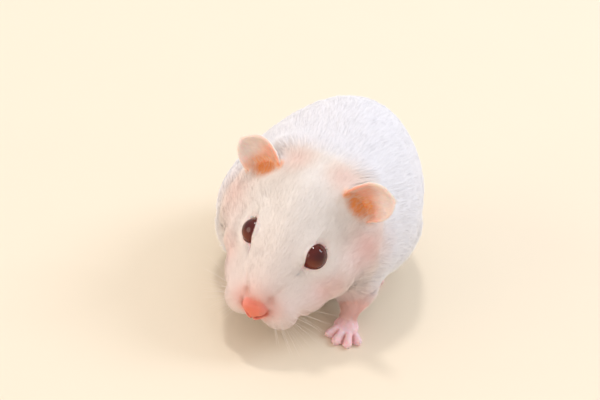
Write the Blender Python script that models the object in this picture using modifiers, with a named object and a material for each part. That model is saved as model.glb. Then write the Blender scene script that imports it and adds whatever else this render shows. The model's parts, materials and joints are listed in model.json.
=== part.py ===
"""A young white pet hamster, life size, standing still on its four feet.

Frame: metres, +Z up, the floor at z = 0. The animal faces -Y, with its left side at +X.
Every form is given in millimetres, in the animal's own frame (the middle between the eyes is at
y = 0), and moved once at the end so that the origin is the middle of the base.

The body is modelled whole, as lumps and lofts that a voxel remesh melts into one form. It is then
parted with thin cuts into head, neck, trunk and the thighs of the hind legs. Ears, eyes, nose, limbs,
feet, claws and tail are pieces of their own that are trimmed clear of the body.
"""

import math

import bmesh
import bpy
import numpy as np
from mathutils import Matrix, Vector

MM = 0.001
GAP = 0.3  # clearance between neighbouring solids, mm

# Driving dimensions, mm
EYE_HEIGHT = 24.3  # the middle between the eyes, above the floor
EYE_RADIUS = 3.0
EYE_CENTRE = (7.1, 0.9, -1.5)  # the left eyeball in the head's frame
TRUNK_LEAN = 0.026  # how far the spine strays to the left for each millimetre towards the rump
HEAD_PITCH = 27.0  # degrees, nose down
HEAD_YAW = -2.5  # degrees, towards the animal's right
EAR_LENGTH = 11.0
EAR_WIDTH = 12.6  # along the rim-to-rim arc
EAR_THICKNESS = 0.7
EAR_ROOT = 2.0  # how far an ear reaches into the fur
EAR_CUP = 54.0  # degrees, half the roll at mid length
EAR_CURL = 0.15  # how much further the rim by the crown rolls
EAR_FOLD = 1.2  # how far the tip leans forward
EAR_BASE = (10.6, 13.6, 1.7)  # the middle of the left ear's base, in the head's frame
EAR_AXIS = (0.87, 0.38, 0.32)  # from the base to the tip
EAR_FACING = (0.22, -0.72, 0.60)  # the way the hollow faces
TAIL_LENGTH = 8.0
CLAW_LENGTH = 0.9
# Each foot: the wrist's x, y and height or the heel's x and y, and the toes' turn to the left
WRISTS = {"left": (16.6, 12.9, 4.6), "right": (-8.4, 16.2, 4.6)}
FOREFOOT_TURNS = {"left": 12.0, "right": 2.0}
HEELS = {"left": (13.8, 43.0), "right": (-13.8, 44.5)}
HINDFOOT_TURNS = {"left": 12.0, "right": -12.0}

# Voxel size and triangles of each kind of clay form
BODY_VOXEL = 0.8
FOOT_VOXEL = 0.26
HEAD_BODY_FACES = 4700  # of the whole body, where the head is cut from it
TRUNK_BODY_FACES = 2000  # of the whole body, where the rest is cut from it
FOREFOOT_FACES = 330
HINDFOOT_FACES = 330
FORELEG_FACES = 170
NOSE_FACES = 160
TAIL_FACES = 110

FUR_WHITE = (0.93, 0.88, 0.86)
SKIN_PINK = (0.90, 0.62, 0.60)
EAR_PINK = (0.92, 0.66, 0.55)
NOSE_PINK = (0.87, 0.42, 0.36)
EYE_RUBY = (0.10, 0.008, 0.004)
CLAW_HORN = (0.93, 0.80, 0.74)


# ---------------------------------------------------------------- Blender helpers


def clear_scene():
    """Removes every object that the startup scene holds."""
    for obj in list(bpy.data.objects):
        bpy.data.objects.remove(obj, do_unlink=True)


def collection(name, hidden=False):
    """A new collection under the scene's own."""
    made = bpy.data.collections.new(name)
    bpy.context.scene.collection.children.link(made)
    made.hide_render = hidden
    return made


def material(name, colour, roughness):
    """A Principled BSDF material in one colour."""
    mat = bpy.data.materials.new(name)
    mat.use_nodes = True
    shader = mat.node_tree.nodes["Principled BSDF"]
    shader.inputs["Base Color"].default_value = (*colour, 1.0)
    shader.inputs["Roughness"].default_value = roughness
    shader.inputs["Metallic"].default_value = 0.0
    mat.diffuse_color = (*colour, 1.0)
    return mat


def object_from(form, name, group, mat=None):
    """An object made from a bmesh, which is freed."""
    mesh = bpy.data.meshes.new(name)
    form.to_mesh(mesh)
    form.free()
    obj = bpy.data.objects.new(name, mesh)
    group.objects.link(obj)
    if mat:
        mesh.materials.append(mat)
    return obj


def bake_modifiers(obj):
    """Applies an object's modifiers to its mesh."""
    bpy.context.view_layer.update()
    graph = bpy.context.evaluated_depsgraph_get()
    mesh = bpy.data.meshes.new_from_object(obj.evaluated_get(graph), depsgraph=graph)
    obj.modifiers.clear()
    old = obj.data
    obj.data = mesh
    bpy.data.meshes.remove(old)
    return obj


def melted(obj, voxel, rounds):
    """Melts overlapping lumps into one smooth closed form."""
    melt = obj.modifiers.new("melt", "REMESH")
    melt.mode = "VOXEL"
    melt.voxel_size = voxel * MM
    soften = obj.modifiers.new("soften", "SMOOTH")
    soften.factor = 0.5
    soften.iterations = rounds
    return bake_modifiers(obj)


def thinned(obj, faces):
    """Reduces a form to about that many triangles."""
    obj.data.calc_loop_triangles()
    thin = obj.modifiers.new("thin", "DECIMATE")
    thin.ratio = min(1.0, faces / len(obj.data.loop_triangles))
    thin.use_collapse_triangulate = True
    return bake_modifiers(obj)


def clay(form, name, group, voxel, rounds, faces, mat):
    """A smooth closed piece melted and thinned from a bmesh of overlapping lumps."""
    obj = thinned(melted(object_from(form, name, group), voxel, rounds), faces)
    obj.data.materials.clear()
    obj.data.materials.append(mat)
    return obj


def combine(obj, other, operation):
    """Boolean of obj with other, applied."""
    cut = obj.modifiers.new(operation.lower(), "BOOLEAN")
    cut.operation = operation
    cut.solver = "EXACT"
    cut.object = other
    return bake_modifiers(obj)


def copy_of(obj, name, group):
    """A copy of an object with a mesh of its own."""
    made = bpy.data.objects.new(name, obj.data.copy())
    made.matrix_world = obj.matrix_world
    group.objects.link(made)
    return made


def grown(obj, by, group):
    """A helper copy of a closed form, swollen along its normals by that many millimetres."""
    made = copy_of(obj, obj.name + "_grown", group)
    swell = made.modifiers.new("swell", "DISPLACE")
    swell.strength = by * MM
    swell.mid_level = 0.0
    return bake_modifiers(made)


# ---------------------------------------------------------------- shapes


def place(point, frame=None):
    """A point in millimetres, taken through a frame, as a vector in metres."""
    return (frame @ Vector(point) if frame else Vector(point)) * MM


def add_lump(form, centre, radii, frame=None, turn=(0, 0, 0), sides=24):
    """Adds an ellipsoid, turned by Euler degrees about its own centre."""
    spin = Matrix.Rotation(math.radians(turn[2]), 4, "Z")
    spin @= Matrix.Rotation(math.radians(turn[1]), 4, "Y")
    spin @= Matrix.Rotation(math.radians(turn[0]), 4, "X")
    matrix = Matrix.Translation(centre) @ spin @ Matrix.Diagonal((*radii, 1.0))
    matrix = Matrix.Scale(MM, 4) @ (frame or Matrix.Identity(4)) @ matrix
    bmesh.ops.create_uvsphere(
        form, u_segments=sides, v_segments=sides // 2, radius=1.0, matrix=matrix
    )


def bridge_rings(form, rings):
    """Skins a row of equal rings into one closed tube with flat ends."""
    rows = [[form.verts.new(point) for point in ring] for ring in rings]
    count = len(rows[0])
    for first, second in zip(rows, rows[1:]):
        for i in range(count):
            j = (i + 1) % count
            form.faces.new((first[i], first[j], second[j], second[i]))
    form.faces.new(reversed(rows[0]))
    form.faces.new(rows[-1])
    bmesh.ops.recalc_face_normals(form, faces=form.faces[:])


def eased(stations, y):
    """The station values at y, on smooth curves through the stations (Catmull-Rom)."""
    ys = [station[0] for station in stations]
    k = int(np.clip(np.searchsorted(ys, y) - 1, 0, len(ys) - 2))
    t = (y - ys[k]) / (ys[k + 1] - ys[k])
    rows = [np.array(stations[i]) for i in range(len(stations))]
    before, after = rows[max(k - 1, 0)], rows[min(k + 2, len(rows) - 1)]
    a, b = rows[k], rows[k + 1]
    span = ys[k + 1] - ys[k]
    slope_a = (b - before) / (ys[k + 1] - before[0]) * span
    slope_b = (after - a) / (after[0] - ys[k]) * span
    blend = (2 * t**3 - 3 * t**2 + 1) * a + (t**3 - 2 * t**2 + t) * slope_a
    return blend + (-2 * t**3 + 3 * t**2) * b + (t**3 - t**2) * slope_b


def add_body_loft(form, stations, frame=None, taper=0.0, steps=48, sides=48):
    """Adds a body form lofted along Y.

    A station is (y, half width, top, bottom, level of the greatest width). Taper narrows a
    ring towards its top, as a skull is narrower than the cheeks.
    """
    rings = []
    for y in np.linspace(stations[0][0], stations[-1][0], steps):
        _, half, top, bottom, wide = eased(stations, y)
        ring = []
        for angle in np.linspace(0, 2 * math.pi, sides, endpoint=False):
            side, rise = math.cos(angle), math.sin(angle)
            reach = (top - wide) if rise > 0 else (wide - bottom)
            narrow = 1.0 - taper * max(0.0, rise) ** 1.5
            ring.append(place((half * side * narrow, y, wide + reach * rise), frame))
        rings.append(ring)
    part = bmesh.new()
    bridge_rings(part, rings)
    mesh = bpy.data.meshes.new("loft")
    part.to_mesh(mesh)
    part.free()
    form.from_mesh(mesh)
    bpy.data.meshes.remove(mesh)


def add_limb(form, points, radii, frame=None):
    """Adds a limb as a row of overlapping round lumps along a line of joints."""
    for (start, end), (thick, thin) in zip(zip(points, points[1:]), zip(radii, radii[1:])):
        start, end = Vector(start), Vector(end)
        count = max(2, int((end - start).length / (0.45 * min(thick, thin))) + 1)
        for t in np.linspace(0, 1, count):
            size = thick + (thin - thick) * t
            add_lump(form, start.lerp(end, t), (size,) * 3, frame, sides=14)


# ---------------------------------------------------------------- frames of the body


def head_frame():
    """The head's own frame: its origin midway between the eyes, -Y forward along the skull."""
    turn = Matrix.Rotation(math.radians(HEAD_YAW), 4, "Z")
    nod = Matrix.Rotation(math.radians(HEAD_PITCH), 4, "X")
    return Matrix.Translation((0, 0, EYE_HEIGHT)) @ turn @ nod


def trunk_frame():
    """The trunk's frame, sheared a little so that the rump strays to the left."""
    lean = Matrix.Identity(4)
    lean[0][1] = TRUNK_LEAN
    return lean


def foot_frame(origin, turn):
    """A foot's frame on the floor, its toes along -Y and turned to the left by that angle."""
    place_at = Matrix.Translation((origin[0], origin[1], 0))
    return place_at @ Matrix.Rotation(math.radians(turn), 4, "Z")


# ---------------------------------------------------------------- the body, whole

# y, half width, top, bottom, level of the greatest width: the head in its own frame
HEAD_STATIONS = (
    (-13.2, 2.6, -4.6, -10.6, -8.0),
    (-11.8, 6.0, -3.0, -13.0, -8.6),
    (-9.4, 8.3, -1.0, -14.4, -9.0),
    (-5.5, 10.4, 1.8, -15.6, -9.2),
    (0.0, 13.1, 4.8, -17.0, -9.2),
    (6.0, 15.2, 7.0, -18.0, -8.6),
    (12.0, 16.4, 7.8, -18.4, -7.6),
    (18.0, 16.2, 6.0, -17.0, -6.4),
)
# The same for the neck and the trunk, in the animal's frame
NECK_STATIONS = (
    (4.0, 9.5, 31.0, 12.0, 19.0),
    (7.0, 14.6, 34.6, 9.2, 18.8),
    (12.0, 18.9, 37.0, 7.0, 18.5),
    (18.0, 21.6, 38.6, 5.6, 18.5),
    (26.0, 23.2, 40.8, 4.2, 18.5),
)
TRUNK_STATIONS = (
    (10.0, 17.5, 35.0, 8.0, 18.0),
    (18.0, 21.8, 38.2, 5.2, 18.0),
    (26.0, 23.7, 41.0, 3.9, 18.0),
    (34.0, 23.3, 42.8, 3.2, 18.0),
    (42.0, 21.4, 42.6, 3.0, 18.2),
    (49.5, 18.2, 39.8, 3.4, 18.4),
    (55.5, 14.2, 35.2, 5.0, 18.6),
    (59.5, 9.6, 30.4, 8.0, 18.6),
    (61.5, 4.4, 25.8, 12.6, 18.6),
)


def add_head(form):
    """The skull, muzzle, whisker pads, chin, jaws and cheeks."""
    frame = head_frame()
    add_body_loft(form, HEAD_STATIONS, frame, taper=0.47)
    for side in (1, -1):
        add_lump(form, (side * 4.3, -9.9, -10.1), (4.8, 3.9, 4.7), frame, (0, 0, side * 20))
        add_lump(form, (side * 6.6, -5.6, -9.7), (4.3, 5.2, 4.4), frame)
        add_lump(form, (side * 7.8, 0.8, -11.0), (5.4, 8.0, 5.0), frame)
        add_lump(form, (side * 10.2, 6.2, -10.2), (6.3, 9.6, 7.2), frame)
    add_lump(form, (0, -8.6, -14.0), (3.4, 3.8, 2.2), frame)


def add_trunk(form):
    """The neck and the barrel of the trunk, with the shoulders and the swell of the haunches."""
    lean = trunk_frame()
    add_body_loft(form, NECK_STATIONS, lean, taper=0.1, steps=20)
    add_body_loft(form, TRUNK_STATIONS, lean, taper=0.13)
    for side in (1, -1):
        add_lump(form, (side * 13.5, 18.5, 14.0), (7.5, 9.0, 9.5), lean)
        add_lump(form, (side * 13.6, 39.5, 11.2), (9.9, 13.4, 9.8), lean, (12, 0, 0))


def whole_body(group):
    """The body as one closed form."""
    form = bmesh.new()
    add_head(form)
    add_trunk(form)
    return melted(object_from(form, "whole_body", group), BODY_VOXEL, 10)


# ---------------------------------------------------------------- cutters

# The neck lies between two slanted planes: a point on each, and their slant from upright.
NECK_FRONT = (0.0, 13.0, 22.0)
NECK_BACK = (0.0, 19.5, 22.0)
NECK_SLANT = 16.0  # degrees, top towards the rump
REACH = 150.0  # larger than the animal


def slab(name, start, thickness, group):
    """A block with a face through start, slanted as the neck is, that reaches back from it."""
    form = bmesh.new()
    slant = Matrix.Rotation(math.radians(-NECK_SLANT), 4, "X")
    size = Matrix.Diagonal((REACH, thickness, REACH, 1))
    middle = Matrix.Translation((0, thickness / 2, 0))
    matrix = Matrix.Scale(MM, 4) @ Matrix.Translation(start) @ slant @ middle @ size
    bmesh.ops.create_cube(form, size=1.0, matrix=matrix)
    return object_from(form, name, group)


def thigh_region(name, side, swell, group):
    """The ellipsoid that parts a thigh from the trunk."""
    form = bmesh.new()
    radii = tuple(r + swell for r in (10.0, 13.5, 13.0))
    add_lump(form, (side * 18.5, 40.0, 10.6), radii, trunk_frame(), (14, 0, 0), sides=20)
    return object_from(form, name, group)


def floor_block(group):
    """Everything below the floor."""
    form = bmesh.new()
    size = Matrix.Diagonal((REACH, 2 * REACH, REACH, 1))
    matrix = Matrix.Scale(MM, 4) @ Matrix.Translation((0, 0, -REACH / 2)) @ size
    bmesh.ops.create_cube(form, size=1.0, matrix=matrix)
    return object_from(form, "floor_block", group)


def eye_socket(side, group):
    """The hollow that clears an eyeball."""
    form = bmesh.new()
    radius = EYE_RADIUS + GAP
    centre = (side * EYE_CENTRE[0], EYE_CENTRE[1], EYE_CENTRE[2])
    add_lump(form, centre, (radius,) * 3, head_frame(), sides=18)
    return object_from(form, "eye_socket", group)


# ---------------------------------------------------------------- pieces


def make_body_parts(fine, plain, group, cutters, fur):
    """Parts the whole body into the head, from its finer copy, and neck, trunk and thighs."""
    neck_span = NECK_BACK[1] - NECK_FRONT[1]
    behind_head = slab("behind_head", NECK_FRONT, REACH, cutters)
    neck_back = Vector(NECK_BACK) + Vector((0, GAP, 0))
    behind_neck = slab("behind_neck", neck_back, REACH, cutters)
    neck_front = Vector(NECK_FRONT) + Vector((0, GAP, 0))
    neck_slab = slab("neck_slab", neck_front, neck_span - GAP, cutters)

    head = copy_of(fine, "head", group)
    combine(head, behind_head, "DIFFERENCE")
    for side in (1, -1):
        combine(head, eye_socket(side, cutters), "DIFFERENCE")
    neck = combine(copy_of(plain, "neck", group), neck_slab, "INTERSECT")
    trunk = combine(copy_of(plain, "trunk", group), behind_neck, "INTERSECT")
    made = [head, neck, trunk]
    for side, word in ((1, "left"), (-1, "right")):
        region = thigh_region("thigh_region", side, 0.0, cutters)
        wider = thigh_region("thigh_region_wider", side, GAP, cutters)
        thigh = combine(copy_of(plain, f"hindleg_{word}", group), region, "INTERSECT")
        combine(trunk, wider, "DIFFERENCE")
        made.append(thigh)
    for obj in made:
        obj.data.materials.clear()
        obj.data.materials.append(fur)
    return made


def ear_surface(frame, side):
    """An open cupped leaf: rolled at its root, open and round at its tip.

    Rows run from root to tip along +Z and the hollow faces -Y. The rim nearer the crown curls
    further round than the other.
    """
    form = bmesh.new()
    rows, columns = 11, 10
    grid = []
    for i in range(rows):
        s = math.sin(0.5 * math.pi * i / (rows - 1))
        span = EAR_WIDTH * (0.50 + 0.50 * math.sin(math.pi * (0.16 + 0.40 * s)))
        span *= max(0.16, math.sqrt(1.0 - s**3.4))
        half_angle = math.radians(EAR_CUP) * (1.6 - 1.0 * s)
        radius = span / 2 / half_angle
        lean = EAR_FOLD * max(0.0, s - 0.5) ** 2 / 0.25
        row = []
        for j in range(columns):
            t = 2 * j / (columns - 1) - 1
            curl = 1.0 + EAR_CURL * max(0.0, -side * t)
            angle = t * curl * half_angle
            across = radius * math.sin(angle)
            depth = radius * (math.cos(angle) - math.cos(half_angle))
            # The rim sits a little lower at the sides than at the middle of the tip.
            rise = (EAR_LENGTH + EAR_ROOT) * s * (1.0 - 0.05 * s * t * t)
            row.append(form.verts.new(place((across, depth - lean, rise), frame)))
        grid.append(row)
    for i in range(rows - 1):
        for j in range(columns - 1):
            form.faces.new((grid[i][j], grid[i][j + 1], grid[i + 1][j + 1], grid[i + 1][j]))
    return form


def aim(origin, axis, facing):
    """A frame whose +Z is axis and whose -Y is the facing direction, made square to it."""
    up = Vector(axis).normalized()
    out = Vector(facing)
    out = (out - up * out.dot(up)).normalized()
    across = (-out).cross(up)
    turn = Matrix((across, -out, up)).transposed().to_4x4()
    return Matrix.Translation(origin) @ turn


def make_ear(word, head_grown, group, mat):
    """One ear, thickened and trimmed clear of the head."""
    side = 1 if word == "left" else -1
    x, y, z = EAR_AXIS
    axis = Vector((side * x, y, z))
    facing = Vector((side * EAR_FACING[0], EAR_FACING[1], EAR_FACING[2]))
    base = Vector((side * EAR_BASE[0], EAR_BASE[1], EAR_BASE[2]))
    frame = head_frame() @ aim(base - axis * EAR_ROOT, axis, facing)
    ear = object_from(ear_surface(frame, side), f"ear_{word}", group, mat)
    thicken = ear.modifiers.new("thicken", "SOLIDIFY")
    thicken.thickness = EAR_THICKNESS * MM
    thicken.offset = 0.0
    bake_modifiers(ear)
    return combine(ear, head_grown, "DIFFERENCE")


def make_eye(word, group, mat):
    """One eyeball."""
    side = 1 if word == "left" else -1
    form = bmesh.new()
    centre = (side * EYE_CENTRE[0], EYE_CENTRE[1], EYE_CENTRE[2])
    add_lump(form, centre, (EYE_RADIUS,) * 3, head_frame(), sides=16)
    return object_from(form, f"eye_{word}", group, mat)


def make_nose(head_grown, group, mat):
    """The bare nose pad in front of the muzzle."""
    form = bmesh.new()
    frame = head_frame()
    add_lump(form, (0, -13.4, -8.2), (2.1, 1.6, 2.5), frame)
    for side in (1, -1):
        add_lump(form, (side * 1.3, -13.1, -7.4), (1.6, 1.7, 1.9), frame)
    nose = clay(form, "nose", group, FOOT_VOXEL, 3, NOSE_FACES, mat)
    return combine(nose, head_grown, "DIFFERENCE")


def make_tail(body_grown, group, mat):
    """The short bare tail."""
    form = bmesh.new()
    root = Vector((1.4, 57.5, 9.5))
    tip = root + Vector((0, 0.86, -0.5)) * TAIL_LENGTH
    add_limb(form, (root, tip), (1.7, 0.8))
    tail = clay(form, "tail", group, 0.3, 2, TAIL_FACES, mat)
    return combine(tail, body_grown, "DIFFERENCE")


# A foot's toes: angle outward from straight ahead in degrees, length past the palm, thickness
FORE_TOES = ((-50, 3.2, 0.9), (-18, 4.0, 0.95), (12, 4.0, 0.95), (46, 3.3, 0.9))
HIND_TOES = ((-30, 3.0, 0.95), (-13, 4.7, 1.0), (2, 5.1, 1.0), (17, 4.7, 1.0), (33, 3.0, 0.95))
FORE_KNUCKLE = (0.0, -2.4, 1.25)  # where the toes fan out from
HIND_KNUCKLE = (0.0, -5.6, 1.25)
TOE_FAN = 1.35  # how far from that point a toe starts


def toe_line(knuckle, angle, length, side):
    """A toe's root, arched middle, tip and direction, in its foot's frame."""
    turn = math.radians(angle) * side
    ahead = Vector((math.sin(turn), -math.cos(turn), 0))
    start = Vector(knuckle) + ahead * TOE_FAN
    middle = start + ahead * length * 0.5 + Vector((0, 0, 0.28))
    tip = start + ahead * length * 0.86
    tip.z = 0.72
    return start, middle, tip, ahead


def add_toes(form, toes, knuckle, frame, side):
    """Adds a foot's toes with their round finger pads."""
    for angle, length, thick in toes:
        start, middle, tip, _ = toe_line(knuckle, angle, length, side)
        add_limb(form, (start, middle, tip), (thick * 1.05, thick * 0.94, thick * 0.82), frame)
        add_lump(form, tip, (thick * 0.88,) * 3, frame, sides=14)


def make_forefoot(word, group, below, mat):
    """A forefoot with four toes, from the wrist down."""
    side = 1 if word == "left" else -1
    frame = foot_frame(WRISTS[word], FOREFOOT_TURNS[word])
    form = bmesh.new()
    add_lump(form, (0, -2.0, 1.5), (2.7, 2.6, 1.62), frame)
    add_limb(form, ((0, -1.4, 1.7), (0, 0.0, 3.2)), (1.9, 2.0), frame)
    add_toes(form, FORE_TOES, FORE_KNUCKLE, frame, side)
    foot = clay(form, f"forefoot_{word}", group, FOOT_VOXEL, 2, FOREFOOT_FACES, mat)
    return combine(foot, below, "DIFFERENCE")


def make_hindfoot(word, group, below, body_parts, mat):
    """A long hind foot with five toes, flat on the floor from heel to toes."""
    side = 1 if word == "left" else -1
    frame = foot_frame(HEELS[word], HINDFOOT_TURNS[word])
    form = bmesh.new()
    add_limb(form, ((0, 4.5, 1.75), (0, -2.0, 1.6), (0, -5.0, 1.4)), (1.9, 2.0, 1.9), frame)
    for across in (-1.0, 1.0):
        add_limb(form, ((across * 0.3, 2.0, 1.6), (across, -5.2, 1.35)), (1.7, 1.5), frame)
    add_toes(form, HIND_TOES, HIND_KNUCKLE, frame, side)
    foot = clay(form, f"hindfoot_{word}", group, FOOT_VOXEL, 2, HINDFOOT_FACES, mat)
    combine(foot, below, "DIFFERENCE")
    for other in body_parts:
        combine(foot, other, "DIFFERENCE")
    return foot


def make_foreleg(word, body_grown, forefoot, group, cutters, fur):
    """The forearm, from where it leaves the chest to the wrist."""
    form = bmesh.new()
    x, y, z = WRISTS[word]
    wrist = Vector((x, y, z - 0.6))
    shoulder = Vector((0.6 * x + (6.0 if x > 0 else -6.0), 21.0, 14.5))
    elbow = wrist.lerp(shoulder, 0.5) + Vector((0, 2.0, -0.8))
    add_limb(form, (shoulder, elbow, wrist), (5.2, 4.2, 2.35))
    leg = clay(form, f"foreleg_{word}", group, 0.4, 4, FORELEG_FACES, fur)
    combine(leg, body_grown, "DIFFERENCE")
    return combine(leg, grown(forefoot, GAP, cutters), "DIFFERENCE")


def claw_path(frame, tip, ahead, thick):
    """Points along a claw that curves down from just past a toe's end."""
    start = tip + ahead * (thick * 0.88 + GAP) + Vector((0, 0, 0.12))
    for t in (0.0, 0.35, 0.7, 1.0):
        drop = Vector((0, 0, -0.32 * t * t))
        yield place(start + ahead * CLAW_LENGTH * t + drop, frame), 1.0 - 0.3 * t


def make_claws(kind, word, toes, knuckle, frame, group, mat):
    """A foot's claws, each an object of its own."""
    side = 1 if word == "left" else -1
    for number, (angle, length, thick) in enumerate(toes, 1):
        _, _, tip, ahead = toe_line(knuckle, angle, length, side)
        curve = bpy.data.curves.new(f"claw_{kind}_{word}_{number}", "CURVE")
        curve.dimensions = "3D"
        curve.bevel_depth = 0.36 * MM
        curve.bevel_resolution = 1
        curve.use_fill_caps = True
        curve.materials.append(mat)
        points = list(claw_path(frame, tip, ahead, thick))
        spline = curve.splines.new("POLY")
        spline.points.add(len(points) - 1)
        for knot, (point, radius) in zip(spline.points, points):
            knot.co = (*point, 1.0)
            knot.radius = radius
        group.objects.link(bpy.data.objects.new(curve.name, curve))


# ---------------------------------------------------------------- assembly


def centre_on_base(group):
    """Moves every piece so that the origin is the middle of the base, on the floor."""
    bpy.context.view_layer.update()
    corners = [o.matrix_world @ Vector(c) for o in group.objects for c in o.bound_box]
    low = Vector([min(c[k] for c in corners) for k in range(3)])
    high = Vector([max(c[k] for c in corners) for k in range(3)])
    shift = Matrix.Translation(-Vector(((low.x + high.x) / 2, (low.y + high.y) / 2, low.z)))
    for obj in group.objects:
        obj.data.transform(shift)


def main():
    clear_scene()
    group = collection("hamster")
    cutters = collection("cutters", hidden=True)
    fur = material("white_fur", FUR_WHITE, 0.9)
    skin = material("bare_skin", SKIN_PINK, 0.6)
    ear_skin = material("ear_skin", EAR_PINK, 0.65)
    nose_skin = material("nose_skin", NOSE_PINK, 0.5)
    ruby = material("eye", EYE_RUBY, 0.08)
    horn = material("claw", CLAW_HORN, 0.45)

    fine = whole_body(cutters)
    plain = thinned(copy_of(fine, "plain_body", cutters), TRUNK_BODY_FACES)
    thinned(fine, HEAD_BODY_FACES)
    head_grown = grown(fine, GAP, cutters)
    body_grown = grown(plain, GAP, cutters)
    below = floor_block(cutters)
    parts = make_body_parts(fine, plain, group, cutters, fur)
    grown_parts = [grown(part, GAP, cutters) for part in parts[2:]]
    make_nose(head_grown, group, nose_skin)
    make_tail(body_grown, group, skin)
    for word in ("left", "right"):
        make_ear(word, head_grown, group, ear_skin)
        make_eye(word, group, ruby)
        forefoot = make_forefoot(word, group, below, skin)
        make_hindfoot(word, group, below, grown_parts, skin)
        make_foreleg(word, body_grown, forefoot, group, cutters, fur)
        fore = foot_frame(WRISTS[word], FOREFOOT_TURNS[word])
        hind = foot_frame(HEELS[word], HINDFOOT_TURNS[word])
        make_claws("fore", word, FORE_TOES, FORE_KNUCKLE, fore, group, horn)
        make_claws("hind", word, HIND_TOES, HIND_KNUCKLE, hind, group, horn)
    for obj in cutters.objects:
        obj.hide_render = True
        obj.display_type = "WIRE"
    for obj in group.objects:
        if obj.type == "MESH":
            obj.data.shade_smooth()
            obj.data.set_sharp_from_angle(angle=math.radians(50))
    centre_on_base(group)


main()
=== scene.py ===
"""A young white pet hamster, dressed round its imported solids.

Frame: metres, +Z up, the floor at z = 0. The animal faces -Y and its left side is at +X.
One skin stands for all the solids of flesh. Fine tufts of coat lie over it, whiskers stand on the
muzzle, and the eyes and the claws are pieces of their own.
"""

from __future__ import annotations

import logging
import math
from dataclasses import dataclass, field
from enum import Enum

import bmesh
import bpy
import numpy as np
from mathutils import Matrix, Vector
from mathutils.bvhtree import BVHTree
from mathutils.kdtree import KDTree
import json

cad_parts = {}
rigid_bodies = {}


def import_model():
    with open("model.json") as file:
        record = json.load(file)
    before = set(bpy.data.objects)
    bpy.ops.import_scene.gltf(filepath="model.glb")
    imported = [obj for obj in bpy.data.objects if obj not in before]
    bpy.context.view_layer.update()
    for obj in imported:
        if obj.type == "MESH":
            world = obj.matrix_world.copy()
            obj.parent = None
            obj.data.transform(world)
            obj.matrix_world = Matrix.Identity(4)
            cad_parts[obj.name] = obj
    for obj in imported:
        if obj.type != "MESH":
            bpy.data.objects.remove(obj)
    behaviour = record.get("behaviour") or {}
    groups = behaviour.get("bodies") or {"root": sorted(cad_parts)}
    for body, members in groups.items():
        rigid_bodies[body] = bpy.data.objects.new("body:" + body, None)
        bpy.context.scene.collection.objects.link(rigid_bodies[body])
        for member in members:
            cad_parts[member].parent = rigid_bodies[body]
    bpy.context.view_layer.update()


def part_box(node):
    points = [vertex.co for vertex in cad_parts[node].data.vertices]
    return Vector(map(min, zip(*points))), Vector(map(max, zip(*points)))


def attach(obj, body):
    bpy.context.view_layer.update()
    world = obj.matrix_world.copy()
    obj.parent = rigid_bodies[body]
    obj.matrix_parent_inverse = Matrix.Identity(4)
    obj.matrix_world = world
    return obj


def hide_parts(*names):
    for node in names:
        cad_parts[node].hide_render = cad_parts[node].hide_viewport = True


log = logging.getLogger("hamster")

MM = 0.001
SEED = 4127
BODY = "root"
BAKE_MAP = "OFBake"
Colour = tuple[float, float, float]
Point = tuple[float, float, float]


class Region(Enum):
    """The parts of the skin, each with a coat of its own."""

    HEAD = 0
    NECK = 1
    TRUNK = 2
    THIGH = 3
    FORELEG = 4
    FOREFOOT = 5
    HINDFOOT = 6
    TAIL = 7
    EAR = 8
    NOSE = 9
    LID = 10


class Side(Enum):
    """The animal's left and right, with the sign of X on each."""

    LEFT = 1
    RIGHT = -1

    @property
    def word(self) -> str:
        """The side's word in the names of nodes."""
        return self.name.lower()


def both(name: str) -> list[str]:
    """The names of a paired node, left and right."""
    return [f"{name}_{side.word}" for side in Side]


FLESH: dict[str, Region] = {
    "head": Region.HEAD,
    "neck": Region.NECK,
    "trunk": Region.TRUNK,
    **dict.fromkeys(both("hindleg"), Region.THIGH),
    **dict.fromkeys(both("foreleg"), Region.FORELEG),
    **dict.fromkeys(both("forefoot"), Region.FOREFOOT),
    **dict.fromkeys(both("hindfoot"), Region.HINDFOOT),
    "tail": Region.TAIL,
    **dict.fromkeys(both("ear"), Region.EAR),
    "nose": Region.NOSE,
}
FEET = (Region.FOREFOOT, Region.HINDFOOT)

# Places and directions of the head's own frame, on the left side
NOSE_TIP: Point = (0.0, -13.6, -8.4)
EAR_ROOT: Point = (10.6, 13.6, 1.7)
EAR_AXIS: Point = (0.87, 0.38, 0.32)  # from an ear's root to its tip
EAR_OPENING: Point = (0.22, -0.72, 0.60)  # the way its hollow faces


@dataclass(frozen=True)
class CoatCut:
    """How the coat of one region is cut.

    depth, length and width are in millimetres, density is tufts per square millimetre, and lift
    is the angle at which a tuft leaves the skin, in degrees.
    """

    depth: float
    length: float
    width: float
    density: float
    lift: float


COAT_CUTS: dict[Region, CoatCut] = {
    Region.HEAD: CoatCut(0.42, 2.9, 0.095, 88.0, 14.0),
    Region.NECK: CoatCut(0.70, 4.2, 0.13, 50.0, 15.0),
    Region.TRUNK: CoatCut(0.85, 4.8, 0.14, 40.0, 15.0),
    Region.THIGH: CoatCut(0.80, 4.2, 0.13, 40.0, 14.0),
    Region.FORELEG: CoatCut(0.20, 1.4, 0.06, 44.0, 12.0),
    Region.FOREFOOT: CoatCut(0.0, 0.6, 0.045, 7.0, 12.0),
    Region.HINDFOOT: CoatCut(0.0, 0.7, 0.045, 7.0, 12.0),
    Region.TAIL: CoatCut(0.05, 1.0, 0.06, 12.0, 16.0),
    Region.EAR: CoatCut(0.06, 1.1, 0.055, 14.0, 12.0),
    Region.NOSE: CoatCut(0.0, 0.3, 0.04, 0.0, 10.0),
    Region.LID: CoatCut(0.05, 0.9, 0.06, 90.0, 12.0),
}


# ---------------------------------------------------------------- small tools


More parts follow.
